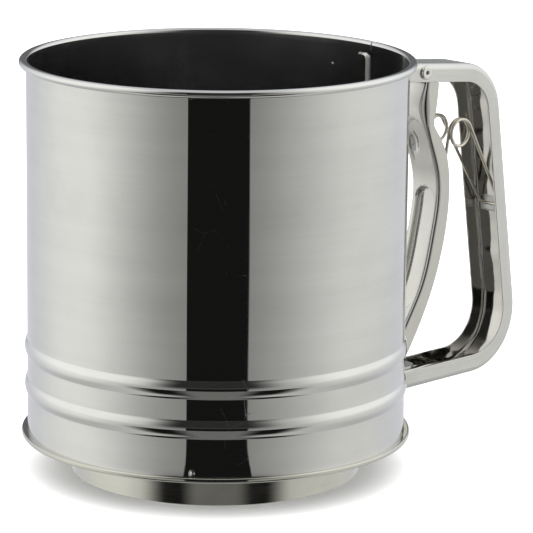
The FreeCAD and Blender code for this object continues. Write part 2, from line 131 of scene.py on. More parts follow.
def smooth_through(points: np.ndarray, count: int) -> np.ndarray:
    """Natural cubic spline through points, sampled evenly by chord length.

    Between knots i and i+1, a chord h apart, the curve is the usual blend of the end values a, b and the
    second derivatives m, n there: a u + b v + ((u^3 - u) m + (v^3 - v) n) h^2 / 6, with u + v = 1. The
    second derivatives make the slopes agree at every inner knot and are zero at both ends.

    Args:
        points: knots, one row each.
        count: number of samples.

    Returns:
        The samples, one row each.
    """
    points = np.asarray(points, float)
    knots = np.r_[0, np.cumsum(np.linalg.norm(np.diff(points, axis=0), axis=1))]
    gap = np.diff(knots)
    size = len(points)
    system = np.eye(size)
    target = np.zeros_like(points)
    inner = np.arange(1, size - 1)
    system[inner, inner - 1] = gap[:-1]
    system[inner, inner] = 2 * (gap[:-1] + gap[1:])
    system[inner, inner + 1] = gap[1:]
    slope = np.diff(points, axis=0) / gap[:, None]
    target[inner] = 6 * np.diff(slope, axis=0)
    bend = np.linalg.solve(system, target)
    place = np.linspace(0, knots[-1], count)
    i = np.clip(np.searchsorted(knots, place, side="right") - 1, 0, size - 2)
    v = ((place - knots[i]) / gap[i])[:, None]
    u = 1 - v
    curve = (u**3 - u) * bend[i] + (v**3 - v) * bend[i + 1]
    return points[i] * u + points[i + 1] * v + curve * (gap[i] ** 2)[:, None] / 6


def length_along(points: np.ndarray) -> np.ndarray:
    """Distance of each point of a path from its start, along the path."""
    return np.r_[0, np.cumsum(np.linalg.norm(np.diff(points, axis=0), axis=1))]


def bump_of(distance: np.ndarray, width: float) -> np.ndarray:
    """Bell curve, 1 where distance is 0 and about a third at one width."""
    return np.exp(-((distance / width) ** 2))


def step_of(value: np.ndarray, low: float, high: float) -> np.ndarray:
    """0 below low, 1 above high, with no corner where it leaves either."""
    share = np.clip((value - low) / (high - low), 0, 1)
    return share * share * (3 - 2 * share)


# ------------------------------------------------------------------ meshes
@dataclass
class Shell:
    """A grid surface that becomes, or joins, one mesh.

    Attributes:
        points: (rows, columns, 3) array of places in millimetres.
        wrap_rows: whether the last row joins the first.
        wrap_columns: whether the last column joins the first.
    """

    points: np.ndarray
    wrap_rows: bool = False
    wrap_columns: bool = False

    def quads(self) -> np.ndarray:
        """Corner numbers of every face.

        Returns:
            (faces, 4) array.
        """
        rows, columns = self.points.shape[:2]
        i = np.arange(rows if self.wrap_rows else rows - 1)[:, None]
        j = np.arange(columns if self.wrap_columns else columns - 1)[None, :]
        i2, j2 = (i + 1) % rows, (j + 1) % columns
        corners = [i * columns + j, i * columns + j2, i2 * columns + j2, i2 * columns + j]
        return np.stack([c + 0 * (i + j) for c in corners], -1).reshape(-1, 4)

    def strip(self) -> np.ndarray:
        """Distance along and across the grid at every face corner.

        The distance along is summed down the middle column and the distance across along the middle row,
        and both go on over the join where the grid closes on itself.

        Returns:
            (corners, 2) array, in the order of quads.
        """
        rows, columns = self.points.shape[:2]
        down = self.points[:, columns // 2]
        over = self.points[rows // 2]
        along = length_along(np.concatenate([down, down[:1]]))
        across = length_along(np.concatenate([over, over[:1]]))
        i = np.arange(rows if self.wrap_rows else rows - 1)[:, None]
        j = np.arange(columns if self.wrap_columns else columns - 1)[None, :]
        corners = [(i, j), (i, j + 1), (i + 1, j + 1), (i + 1, j)]
        both = [np.stack([along[a] + 0 * j, across[b] + 0 * i], -1) for a, b in corners]
        return np.stack(both, 2).reshape(-1, 2)


def mesh_of(name: str, shells: list[Shell]) -> bpy.types.Mesh:
    """One mesh from grid surfaces, with their distances along and across as its UV map.

    Args:
        name: the mesh's name.
        shells: the surfaces, in millimetres.

    Returns:
        The mesh, in metres.
    """
    places, faces, used = [], [], 0
    for shell in shells:
        flat = shell.points.reshape(-1, 3)
        places.append(flat)
        faces.append(shell.quads() + used)
        used += len(flat)
    places = np.concatenate(places) * MM
    faces = np.concatenate(faces)
    mesh = bpy.data.meshes.new(name)
    mesh.vertices.add(len(places))
    mesh.vertices.foreach_set("co", places.astype(np.float32).ravel())
    mesh.loops.add(faces.size)
    mesh.loops.foreach_set("vertex_index", faces.astype(np.int32).ravel())
    mesh.polygons.add(len(faces))
    mesh.polygons.foreach_set("loop_start", np.arange(0, faces.size, 4, dtype=np.int32))
    mesh.update(calc_edges=True)
    strips = np.concatenate([shell.strip() for shell in shells]) * MM
    layer = mesh.uv_layers.new(name="along_and_across")
    layer.data.foreach_set("uv", strips.astype(np.float32).ravel())
    return mesh


def tidy_mesh(mesh: bpy.types.Mesh, cap: bool = False, sharp_degrees: float = 40.0,
              hole: "Box | None" = None) -> None:
    """Merges poles and seams, cuts and lines a hole, closes ends, points faces outwards and shades smooth.

    Args:
        mesh: the mesh to finish.
        cap: whether open ends are closed with a flat face.
        sharp_degrees: edges that turn more than this stay sharp.
        hole: box in millimetres; faces whose middle is inside go, and the two rims that stay are joined.
    """
    bm = bmesh.new()
    bm.from_mesh(mesh)
    bmesh.ops.remove_doubles(bm, verts=bm.verts, dist=1e-7)
    if hole is not None:
        gone = [f for f in bm.faces if hole.holds(f.calc_center_median())]
        bmesh.ops.delete(bm, geom=gone, context="FACES")
        rims = [e for e in bm.edges if e.is_boundary and hole.near(e)]
        bmesh.ops.bridge_loops(bm, edges=rims)
    if cap:
        bmesh.ops.holes_fill(bm, edges=[e for e in bm.edges if e.is_boundary], sides=0)
    bmesh.ops.recalc_face_normals(bm, faces=bm.faces)
    bm.to_mesh(mesh)
    bm.free()
    mesh.shade_smooth()
    mesh.set_sharp_from_angle(angle=math.radians(sharp_degrees))


@dataclass(frozen=True)
class Box:
    """An upright box in millimetres."""

    low: tuple[float, float, float]
    high: tuple[float, float, float]

    def holds(self, place: Vector, spare: float = 0.0) -> bool:
        """Whether a place in metres is inside, with some spare room allowed."""
        return all(a - spare <= c / MM <= b + spare for a, c, b in zip(self.low, place, self.high))

    def near(self, edge: bmesh.types.BMEdge) -> bool:
        """Whether both ends of an edge are inside or on the box."""
        return all(self.holds(v.co, 0.3) for v in edge.verts)


def lathe(profile: np.ndarray, angles: np.ndarray | None = None, count: int = 96) -> Shell:
    """Profile turned about the Z axis: x = r cos a, y = r sin a, z = z.

    Args:
        profile: (r, z) rows; closed on itself unless it starts and ends on the axis.
        angles: angles of a part turn in radians, or None for the whole circle.
        count: columns of a whole circle.

    Returns:
        The grid, rows along the profile and columns round the axis.
    """
    whole = angles is None
    turn = np.linspace(0, FULL_TURN, count, endpoint=False) if whole else angles
    r, z = profile[:, 0][:, None], profile[:, 1][:, None]
    points = np.stack([r * np.cos(turn), r * np.sin(turn), z + 0 * turn], -1)
    on_axis = abs(profile[0, 0]) < 1e-9 and abs(profile[-1, 0]) < 1e-9
    return Shell(points, wrap_rows=not on_axis, wrap_columns=whole)


def laid_along_y(shell: Shell, x: float, z: float) -> Shell:
    """A turned shell with its axis laid from +Z onto +Y.

    Args:
        shell: the shell, turned about the Z axis.
        x: where its axis crosses, in millimetres.
        z: how high its axis lies, in millimetres.

    Returns:
        The shell in its place.
    """
    p = shell.points
    moved = np.stack([x + p[..., 0], p[..., 2], z - p[..., 1]], -1)
    return Shell(moved, shell.wrap_rows, shell.wrap_columns)


def moved_to(shell: Shell, x: float, y: float, z: float = 0.0) -> Shell:
    """A shell carried by (x, y, z)."""
    return Shell(shell.points + np.array([x, y, z]), shell.wrap_rows, shell.wrap_columns)


def ring_profile(r_in: float, r_out: float, z0: float, z1: float, edge: float = 0.12) -> np.ndarray:
    """Rectangle profile of a ring with lightly rounded edges."""
    corners = np.array([(r_out, z0), (r_out, z1), (r_in, z1), (r_in, z0)])
    return fillet(corners, np.full(4, edge), steps=3, hold=edge / 2)


def slab(outline: np.ndarray, y0: float, y1: float) -> Shell:
    """Outline in the XZ plane, extruded across Y; its two sides are closed when it is capped.

    Args:
        outline: (x, z) rows.
        y0: first side.
        y1: second side.

    Returns:
        The grid, two rows of the outline's points.
    """
    places = np.stack([outline[:, 0], 0 * outline[:, 0], outline[:, 1]], -1)
    across = np.array([[0, y0, 0], [0, y1, 0]], float)
    return Shell(across[:, None, :] + places[None, :, :], wrap_columns=True)


def tube(path: np.ndarray, radius: float, normals: np.ndarray, sides: int = 16) -> Shell:
    """Round wire along a path.

    At each point the circle is radius (cos a normal + sin a binormal), where the binormal is the
    tangent crossed with the normal. Both ends close to a point through a short dome.

    Args:
        path: (n, 3) centre line.
        radius: wire radius.
        normals: (n, 3) unit vectors across the path.
        sides: columns round the wire.

    Returns:
        The grid, rows along the path.
    """
    tangent = unit(np.gradient(path, axis=0))
    normal = unit(normals - (normals * tangent).sum(1, keepdims=True) * tangent)
    binormal = np.cross(tangent, normal)
    dome = np.radians([90, 60, 30])
    lift = np.r_[-np.sin(dome), 0 * path[:, 0], np.sin(dome[::-1])] * radius
    wide = np.r_[np.cos(dome), 1 + 0 * path[:, 0], np.cos(dome[::-1])] * radius
    where = np.r_[np.zeros(3, int), np.arange(len(path)), np.full(3, len(path) - 1)]
    turn = np.linspace(0, FULL_TURN, sides, endpoint=False)[None, :, None]
    ring = np.cos(turn) * normal[where][:, None] + np.sin(turn) * binormal[where][:, None]
    centre = path[where] + tangent[where] * lift[:, None]
    return Shell(centre[:, None] + ring * wide[:, None, None], wrap_columns=True)


# ------------------------------------------------------------------ finishes
class Grain(enum.Enum):
    """Which way the polishing lines of a finish run."""

    AROUND = "round the Z axis"
    LENGTHWISE = "along the piece's own U direction"
    CROSSWISE = "along Y"


def new_group(name: str, inputs: list[tuple[str, str]], outputs: list[tuple[str, str]]) -> bpy.types.NodeTree:
    """Empty shader node group with named sockets.

    Args:
        name: the group's name.
        inputs: (name, socket type) of each input.
        outputs: (name, socket type) of each output.

    Returns:
        The group, holding one input and one output node.
    """
    tree = bpy.data.node_groups.new(name, "ShaderNodeTree")
    for way, sockets in (("INPUT", inputs), ("OUTPUT", outputs)):
        for label, kind in sockets:
            tree.interface.new_socket(label, in_out=way, socket_type=kind)
    tree.nodes.new("NodeGroupInput")
    tree.nodes.new("NodeGroupOutput")
    return tree


@dataclass
class Wiring:
    """Short calls for laying nodes into one tree."""

    tree: bpy.types.NodeTree

    def node(self, kind: str, inputs: dict | None = None, **settings: object) -> bpy.types.Node:
        """Adds a node.

        Args:
            kind: node type without its ShaderNode prefix.
            inputs: socket name or number to a value, or to an output socket that is linked to it.
            settings: the node's own properties.

        Returns:
            The node.
        """
        made = self.tree.nodes.new("ShaderNode" + kind)
        for key, value in settings.items():
            setattr(made, key, value)
        for key, value in (inputs or {}).items():
            if isinstance(value, bpy.types.NodeSocket):
                self.tree.links.new(value, made.inputs[key])
            else:
                made.inputs[key].default_value = value
        return made

    def maths(self, operation: str, a: object, b: object = 0.0, clamp: bool = False) -> bpy.types.NodeSocket:
        """Result of one Math node on two values or sockets."""
        return self.node("Math", {0: a, 1: b}, operation=operation, use_clamp=clamp).outputs[0]

    def remap(self, value: object, a: float, b: float, c: float, d: float) -> bpy.types.NodeSocket:
        """Value carried smoothly from the range a..b to the range c..d, and held there."""
        numbers = {"Value": value, "From Min": a, "From Max": b, "To Min": c, "To Max": d}
        return self.node("MapRange", numbers, interpolation_type="SMOOTHSTEP").outputs[0]

    def noise(self, vector: object, scale: float, detail: float = 3.0) -> bpy.types.NodeSocket:
        """Fractal noise value at a vector."""
        numbers = {"Vector": vector, "Scale": scale, "Detail": detail, "Roughness": 0.6}
        return self.node("TexNoise", numbers).outputs[0]


def around_group() -> bpy.types.NodeTree:
    """Coordinates whose third part climbs fast up a turned piece while the others drift round it.

    Returns:
        The node group.
    """
    vector = "NodeSocketVector"
    tree = new_group("grain_around_axis", [("Place", vector)], [("Grain Space", vector)])
    w = Wiring(tree)
    source, sink = tree.nodes["Group Input"], tree.nodes["Group Output"]
    parts = w.node("SeparateXYZ", {0: source.outputs["Place"]})
    x, y, z = parts.outputs
    radius = w.maths("SQRT", w.maths("ADD", w.maths("MULTIPLY", x, x), w.maths("MULTIPLY", y, y)))
    climb = w.maths("MULTIPLY", w.maths("ADD", z, radius), 2600.0)
    slow = [w.maths("MULTIPLY", part, 60.0) for part in (x, y)]
    joined = w.node("CombineXYZ", {0: slow[0], 1: slow[1], 2: climb})
    tree.links.new(joined.outputs[0], sink.inputs[0])
    return tree


def marks_group() -> bpy.types.NodeTree:
    """Marks that every steel finish shares: polishing lines, wiped smears, cloudy haze and hairlines.

    Returns:
        The node group.
    """
    tree = new_group(
        "steel_marks",
        [("Grain Space", "NodeSocketVector"), ("Place", "NodeSocketVector"), ("Grain", "NodeSocketFloat"),
         ("Haze", "NodeSocketFloat"), ("Hairlines", "NodeSocketFloat")],
        [("Roughness", "NodeSocketFloat"), ("Height", "NodeSocketFloat"), ("Shade", "NodeSocketFloat")],
    )
    w = Wiring(tree)
    source, sink = tree.nodes["Group Input"], tree.nodes["Group Output"]
    place = source.outputs["Place"]
    lines = w.maths("SUBTRACT", w.noise(source.outputs["Grain Space"], 1.0, 4.0), 0.5)
    lines = w.maths("MULTIPLY", lines, source.outputs["Grain"])
    cloud = w.remap(w.noise(place, 38.0, 4.0), 0.38, 0.66, 0.0, 1.0)
    breath = w.maths("SUBTRACT", w.noise(place, 11.0, 2.0), 0.5)
    stray = w.node("TexNoise", {"Vector": place, "Scale": 60.0}).outputs["Color"]
    wander = w.node("VectorMath", {0: place, 1: stray}, operation="MULTIPLY")
    hairs = w.node("TexVoronoi", {"Vector": place, "Scale": 90.0}, feature="DISTANCE_TO_EDGE").outputs[0]
    hair = w.remap(hairs, 0.0, 0.012, 1.0, 0.0)
    rare = w.remap(w.noise(wander.outputs[0], 55.0, 2.0), 0.56, 0.64, 0.0, 1.0)
    smear = w.maths("SUBTRACT", w.noise(source.outputs["Grain Space"], 0.05, 3.0), 0.5)
    hair = w.maths("MULTIPLY", w.maths("MULTIPLY", hair, rare), source.outputs["Hairlines"])
    hazy = w.maths("MULTIPLY", w.maths("ADD", cloud, breath), source.outputs["Haze"])
    rough = w.maths("ADD", w.maths("ADD", lines, hazy), w.maths("MULTIPLY", hair, 0.4))
    tall = w.maths("SUBTRACT", lines, w.maths("MULTIPLY", hair, 0.3))
    wiped = w.maths("MULTIPLY", w.maths("MULTIPLY", smear, source.outputs["Haze"]), 4.5)
    shade = w.maths("SUBTRACT", w.maths("ADD", 1.0, wiped), w.maths("MULTIPLY", hazy, 1.2))
    shade = w.maths("ADD", shade, w.maths("MULTIPLY", lines, 1.1))
    for value, label in ((rough, "Roughness"), (tall, "Height"), (shade, "Shade")):
        tree.links.new(value, sink.inputs[label])
    return tree


@dataclass(frozen=True)
class Steel:
    """One sheet or wire finish.

    Attributes:
        name: what the finish is called.
        colour: linear base colour.
        roughness: middle roughness.
        grain: which way the polishing lines run.
        grain_depth: how strong those lines are.
        haze: how much the cloudy handling marks soften the polish.
        hairlines: how strong the stray scratches are.
        relief: bump distance of the marks in metres.
    """

    name: str
    colour: tuple[float, float, float]
    roughness: float
    grain: Grain
    grain_depth: float = 0.1
    haze: float = 0.04
    hairlines: float = 0.2
    relief: float = 0.000002

    def material(self, groups: dict[str, bpy.types.NodeTree]) -> bpy.types.Material:
        """Builds the material.

        Args:
            groups: the shared node groups by name.

        Returns:
            A metal whose colour, roughness and bump all carry the shared marks.
        """
        material = bpy.data.materials.new(self.name)
        material.use_nodes = True
        tree = material.node_tree
        tree.nodes.clear()
        w = Wiring(tree)
        coordinates = w.node("TexCoord")
        place = coordinates.outputs["Object"]
        if self.grain is Grain.AROUND:
            space = w.node("Group", node_tree=groups["around"])
            tree.links.new(place, space.inputs[0])
        elif self.grain is Grain.LENGTHWISE:
            space = w.node("Mapping", {"Vector": coordinates.outputs["UV"], "Scale": (60.0, 1700.0, 1.0)})
        else:
            space = w.node("Mapping", {"Vector": place, "Scale": (1700.0, 60.0, 1700.0)})
        marks = w.node("Group", {}, node_tree=groups["marks"])
        tree.links.new(space.outputs[0], marks.inputs["Grain Space"])
        tree.links.new(place, marks.inputs["Place"])
        marks.inputs["Grain"].default_value = self.grain_depth
        marks.inputs["Haze"].default_value = self.haze
        marks.inputs["Hairlines"].default_value = self.hairlines
        tint = w.node("Mix", data_type="RGBA", blend_type="MULTIPLY")
        tint.inputs["Factor"].default_value = 1.0
        tint.inputs["A"].default_value = (*self.colour, 1.0)
        tree.links.new(marks.outputs["Shade"], tint.inputs["B"])
        rough = w.maths("ADD", marks.outputs["Roughness"], self.roughness, clamp=True)
        bump = w.node("Bump", {"Height": marks.outputs["Height"], "Distance": self.relief, "Strength": 1.0})
        shader = w.node("BsdfPrincipled", {
            "Base Color": tint.outputs["Result"], "Metallic": 1.0, "Roughness": rough,
            "Normal": bump.outputs[0],
        })
        output = w.node("OutputMaterial")
        tree.links.new(shader.outputs[0], output.inputs[0])
        return material


FINISHES = (
    Steel("cup_polish", (0.68, 0.68, 0.675), 0.012, Grain.AROUND, grain_depth=0.05, haze=0.035,
          hairlines=0.3),
    # Inner face of the cup: a plainer, rougher finish, and a darker colour that is painted shade inside the
    # cup.
    Steel("cup_inside_shaded", (0.44, 0.44, 0.44), 0.15, Grain.AROUND, grain_depth=0.06, haze=0.04),
    Steel("cut_edge", (0.8, 0.8, 0.76), 0.5, Grain.CROSSWISE, grain_depth=0.1, haze=0.05),
    Steel("base_satin", (0.62, 0.615, 0.56), 0.05, Grain.AROUND, grain_depth=0.1, haze=0.05,
          relief=0.000003),
    Steel("handle_satin", (0.65, 0.65, 0.635), 0.27, Grain.LENGTHWISE, grain_depth=0.16, haze=0.07,
          relief=0.000004),
    # The channel's inner faces: a shinier finish, and a darker, warmer colour that is painted shade inside the
    # channel.
    Steel("handle_inside_shaded", (0.56, 0.55, 0.52), 0.06, Grain.LENGTHWISE, grain_depth=0.08, haze=0.05),
    Steel("trigger_polish", (0.6, 0.595, 0.57), 0.12, Grain.LENGTHWISE, grain_depth=0.1, haze=0.05),
    Steel("rivet_polish", (0.74, 0.735, 0.7), 0.16, Grain.CROSSWISE, grain_depth=0.06, haze=0.03),
    Steel("spring_wire", (0.68, 0.65, 0.56), 0.27, Grain.LENGTHWISE, grain_depth=0.1, haze=0.03),
    Steel("mesh_wire", (0.6, 0.6, 0.58), 0.22, Grain.AROUND, grain_depth=0.05, haze=0.06, hairlines=0.0),
    Steel("blade_satin", (0.62, 0.62, 0.6), 0.24, Grain.CROSSWISE, grain_depth=0.14, haze=0.06),
    Steel("bare_steel", (0.62, 0.62, 0.6), 0.2, Grain.AROUND, grain_depth=0.1, haze=0.06),
)


class Palette:
    """Every material of the sifter, made once and handed out by name."""

    def __init__(self) -> None:
        """Builds the shared node groups and then each finish."""
        groups = {"around": around_group(), "marks": marks_group()}
        self.made = {finish.name: finish.material(groups) for finish in FINISHES}

    def __getitem__(self, name: str) -> bpy.types.Material:
        """The material of that name."""
        return self.made[name]


# ------------------------------------------------------------------ pieces
@dataclass
class Assembly:
    """What every sub-assembly of the sifter does alike.

    Attributes:
        palette: where its materials come from.
        body: the CAD body that its pieces ride on.
    """

    palette: Palette
    body: str = "sifter"

    def place(self, name: str, shells: list[Shell], node: str, finish: str, slot: str, *,
              cap: bool = False, sharp: float = 40.0, hole: Box | None = None,
              body: str | None = None) -> bpy.types.Object:
        """Turns shells into one piece that stands for a CAD node.

        Args:
            name: the piece's name.
            shells: its surfaces.
            node: the CAD node it stands for.
            finish: its material.
            slot: the record's material slot; not used.
            cap: whether open ends are closed.
            sharp: angle in degrees past which an edge stays sharp.
            hole: a hole to cut and line, if any.
            body: CAD body to ride on, if not the assembly's own.

        Returns:
            The piece.
        """
        mesh = mesh_of(name, shells)
        tidy_mesh(mesh, cap=cap, sharp_degrees=sharp, hole=hole)
        mesh.materials.append(self.palette[finish])
        piece = bpy.data.objects.new(name, mesh)
        bpy.context.scene.collection.objects.link(piece)
        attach(piece, body or self.body)
        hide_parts(node)
        log.info("%-22s %6d faces, for %s", name, len(mesh.polygons), node)
        return piece

    def paint(self, piece: bpy.types.Object, finish: str, choose: Chooser) -> None:
        """Gives another finish to some of a piece's faces.

        Args:
            piece: the piece.
            finish: the second finish.
            choose: takes every face's middle in millimetres and its normal, returns True where it goes.
        """
        mesh = piece.data
        mesh.materials.append(self.palette[finish])
        middle, normal, number = (np.empty(len(mesh.polygons) * k) for k in (3, 3, 1))
        mesh.polygons.foreach_get("center", middle)
        mesh.polygons.foreach_get("normal", normal)
        mesh.polygons.foreach_get("material_index", number)
        chosen = choose(middle.reshape(-1, 3) / MM, normal.reshape(-1, 3))
        number = np.where(chosen, len(mesh.materials) - 1, number).astype(np.int32)
        mesh.polygons.foreach_set("material_index", number)

    def keep(self, node: str, finish: str) -> None:
        """Leaves a CAD node showing and gives it one of the finishes.

        Args:
            node: the CAD node.
            finish: its material.
        """
        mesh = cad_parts[node].data
        mesh.materials.clear()
        mesh.materials.append(self.palette[finish])
        log.info("%-22s kept from the frame", node)


@dataclass
class Cup(Assembly):
    """Rolled-rim cup wall with two beads, the lock seam inside and the slot for the link.

    Attributes:
        roll_tall, roll_wide: half-height and half-width of the rolled rim's section.
        seam_from, seam_span: right edge of the lock seam and its width, in degrees about Z.
        cut_edge_from: height above which the seam's edge shows raw.
        stake: angle and height of the dimple staked through into the base.
        weld_dots: angle and height of each spot weld of the handle.
        flat_spot: angle and height of the stretch beside the stake that is pulled flat.
        rim_joint: angle at which the rolled rim's ends meet.
    """

    rim_radius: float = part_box("cup_body")[1].x / MM
    rim_top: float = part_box("cup_body")[1].z / MM
    wall_radius: float = 62.6
    sheet: float = 0.5
    bottom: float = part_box("cup_body")[0].z / MM
    roll_tall: float = 1.25
    roll_wide: float = 1.45
    bead_heights: tuple[float, float] = (29.3, 42.2)
    bead_half: float = 2.7
    bead_proud: float = 0.85
    seam_from: float = -7.9
    seam_span: float = 4.6
    seam_thick: float = 1.0
    seam_top: float = 133.6
    cut_edge_from: float = 30.0
    slot: Box = Box((55.0, -5.6, 17.6), (70.0, 5.6, 21.6))
    stake: tuple[float, float] = (-139.9, 15.0)
    stake_proud: float = 0.4
    weld_dots: tuple[tuple[float, float], ...] = ((7.8, 129.0), (-12.0, 129.0))
    weld_deep: float = 0.22
    flat_spot: tuple[float, float] = (-131.0, 12.5)
    swell: float = 0.42
    ripple: float = 0.014
    rim_joint: float = -8.9
    rim_pinch: float = 0.3
    bead_fillet: float = 0.06
    foot_spread: float = 0.35

    def outer(self, z: np.ndarray) -> np.ndarray:
        """Outside radius at a height.

        Each bead is a circular arc that stands proud of the wall; wall and arc are joined by the soft
        maximum w + s log(1 + exp((arc - w) / s)), which fillets the bead's two feet. The wall's foot
        spreads a little before it enters the seam of the base.

        Args:
            z: heights.

        Returns:
            The radius at each height.
        """
        arc_radius = (self.bead_half**2 + self.bead_proud**2) / (2 * self.bead_proud)
        radius = self.wall_radius + self.foot_spread * np.exp(-(z - self.bottom) / 1.1)
        soft = self.bead_fillet
        for middle in self.bead_heights:
            off = np.clip(np.abs(z - middle), 0, arc_radius * 0.9)
            arc = self.bead_proud - arc_radius + np.sqrt(arc_radius**2 - off**2)
            radius = radius + soft * np.log1p(np.exp(arc / soft))
        return radius

    def heights(self) -> np.ndarray:
        """Heights of the wall's rows: wide apart on the plain wall, close over beads, slot and welds.

        Returns:
            The heights, rising.
        """
        close = [np.linspace(m - 3.6, m + 3.6, 25) for m in self.bead_heights]
        close.append(np.linspace(self.bottom + 0.5, 17.4, 16))
        close.append(np.array([self.slot.low[2], self.slot.high[2], 19.6, 23.5]))
        close.append(np.linspace(126.0, 134.8, 34))
        plain = np.arange(50.0, 126.0, 6.0)
        return np.unique(np.round(np.concatenate([*close, plain]), 3))

    def roll_centre(self) -> tuple[float, float]:
        """Middle (r, z) of the rolled rim."""
        return self.rim_radius - self.roll_wide, self.rim_top - self.roll_tall

    def roll(self, shrink: float, degrees: np.ndarray) -> np.ndarray:
        """The rolled rim, an ellipse a little wider than tall.

        Args:
            shrink: how far inside the outer face the points lie.
            degrees: their angles about the roll's middle.

        Returns:
            (r, z) rows.
        """
        centre = np.array(self.roll_centre())
        size = np.array([self.roll_wide, self.roll_tall]) - shrink
        return centre + arc_points((0.0, 0.0), 1.0, degrees) * size

    def profile(self) -> tuple[np.ndarray, np.ndarray]:
        """Closed profile of the wall and, row by row, 1 on its inner face and 0 elsewhere.

        The sheet runs straight up, over the rim and round to a tip that stops short of the wall.
        """
        z = self.heights()
        outside = np.stack([self.outer(z), z], 1)
        curl_in = self.roll(self.sheet, np.linspace(180, -125, 21))
        tip = self.roll(self.sheet / 2, np.array([-136.0]))
        curl_out = self.roll(0.0, np.linspace(-125, 180, 37))
        inside = np.stack([self.outer(z[::-1]) - self.sheet, z[::-1]], 1)
        flange = self.rim_radius - 1.05
        z0 = self.bottom
        foot = np.array([(self.wall_radius - self.sheet, z0), (flange, z0), (flange, z0 + self.sheet)])
        parts = [outside, curl_in, tip, curl_out, inside, foot]
        inner = np.concatenate([np.full(len(p), float(p is inside)) for p in parts])
        return np.concatenate(parts), inner

    def angles(self) -> np.ndarray:
        """Angles of the columns in degrees: 2 apart, and closer by the handle, the slot and the stake."""
        slot_edge = math.degrees(math.asin(self.slot.high[1] / self.wall_radius))
        fine = np.concatenate([np.arange(-16, 16, 0.5), np.linspace(-9.4, -2, 75), np.linspace(6.5, 9.1, 14),
                               np.linspace(self.stake[0] - 2, self.stake[0] + 2, 21),
                               np.array([-slot_edge, slot_edge])])
        coarse = np.arange(-180, 180, 2.0)
        apart = np.abs(coarse[:, None] - fine[None, :]).min(1) > 0.5
        return np.unique(np.round(np.concatenate([coarse[apart], fine]), 4))

    def fold(self, a: np.ndarray, z: np.ndarray) -> np.ndarray:
        """How far the lock seam stands in from the wall, as a share of its thickness.

        With u and v the distances in from its right edge and its top edge, the upper right corner is rounded
        to radius c by taking c - hypot(c - u, c - v) there instead of the smaller of the two.

        Args:
            a: angles in degrees.
            z: heights.

        Returns:
            The share at each place, 0 off the seam.
        """
        corner = 1.7
        right = np.radians(a - self.seam_from) * self.wall_radius
        left = np.radians(self.seam_from + self.seam_span - a) * self.wall_radius
        below = self.seam_top - z
        u, v = np.minimum(right, corner), np.minimum(below, corner)
        inwards = np.minimum(corner - np.hypot(corner - u, corner - v), left)
        return step_of(inwards, -0.1, 0.42)

    def wall(self) -> Shell:
        """The wall's surface: the turned profile with its seam, weld dots, stake and rim joint pressed in.

        The wall is flattened a little beside the stake, by swelling out on both sides of it, and ripples by
        a hundredth of a millimetre as any rolled sheet does, by the sine of (8 a + z / 17).
        """
        rows, inner = self.profile()
        degrees = self.angles()
        r, z = rows[:, 0][:, None], rows[:, 1][:, None]
        a = degrees[None, :]
        z = z + 0 * a
        outside = (1 - inner)[:, None]
        on_wall = z < self.rim_top - 2 * self.roll_tall
        r = r - inner[:, None] * self.seam_thick * self.fold(a, z)
        for dot, height in self.weld_dots:
            off = np.hypot(np.radians(a - dot) * self.wall_radius, z - height)
            r = r + self.weld_deep * (bump_of(off, 0.8) - 0.45 * bump_of(off, 1.7))
        off = np.hypot(np.radians(a - self.stake[0]) * self.wall_radius * 1.25, z - self.stake[1])
        r = r + self.stake_proud * bump_of(off, 0.75) * outside
        low = (1 - step_of(z, self.flat_spot[1], self.flat_spot[1] + 12.0)) * on_wall
        off = a - self.flat_spot[0]
        r = r + self.swell * (bump_of(off, 32.0) - bump_of(off, 11.0)) * low
        r = r + self.ripple * np.sin(8 * np.radians(a) + z / 17) * on_wall
        pinch = self.rim_pinch * bump_of(a - self.rim_joint, 0.16) * ~on_wall
        centre = self.roll_centre()
        r, z = r + (centre[0] - r) * pinch, z + (centre[1] - z) * pinch
        turn = np.radians(a)
        return Shell(np.stack([r * np.cos(turn), r * np.sin(turn), z], -1), True, True)

    def build(self) -> None:
        """Makes the cup wall, bright outside, plain inside with a darker colour that is painted shade in the
        cup, and raw along the seam's cut edge.
        """
        piece = self.place("cup_wall", [self.wall()], "cup_body", "cup_polish", "cup_steel",
                           hole=self.slot, sharp=50)
        # Inner faces get the rougher finish whose darker colour is painted shade inside the cup.
        self.paint(piece, "cup_inside_shaded", self.is_inside)
        self.paint(piece, "cut_edge", self.is_cut_edge)

    def is_inside(self, middle: np.ndarray, normal: np.ndarray) -> np.ndarray:
        """Faces on the inner side of the wall.

        Args:
            middle: every face's middle in millimetres.
            normal: every face's normal.

        Returns:
            True for each face that is.
        """
        out = unit(middle * np.array([1, 1, 0]))
        return ((normal * out).sum(1) < 0.3) & (middle[:, 2] < self.rim_top - self.roll_tall) & (
            np.hypot(middle[:, 0], middle[:, 1]) < self.wall_radius + self.bead_proud - self.sheet / 2)

    def is_cut_edge(self, middle: np.ndarray, normal: np.ndarray) -> np.ndarray:
        """Faces on the seam's right edge and its top.

        Args:
            middle: every face's middle in millimetres.
            normal: every face's normal.

        Returns:
            True for each face that is.
        """
        out = unit(middle * np.array([1, 1, 0]))
        a = np.degrees(np.arctan2(middle[:, 1], middle[:, 0]))
        near = np.abs(a - self.seam_from - self.seam_span / 2) < self.seam_span
        steep = np.abs((normal * out).sum(1)) < 0.85
        below_rim = middle[:, 2] < self.rim_top - 2 * self.roll_tall
        above_beads = middle[:, 2] > self.cut_edge_from
        return near & steep & (a < self.seam_from + self.seam_span / 2) & below_rim & above_beads


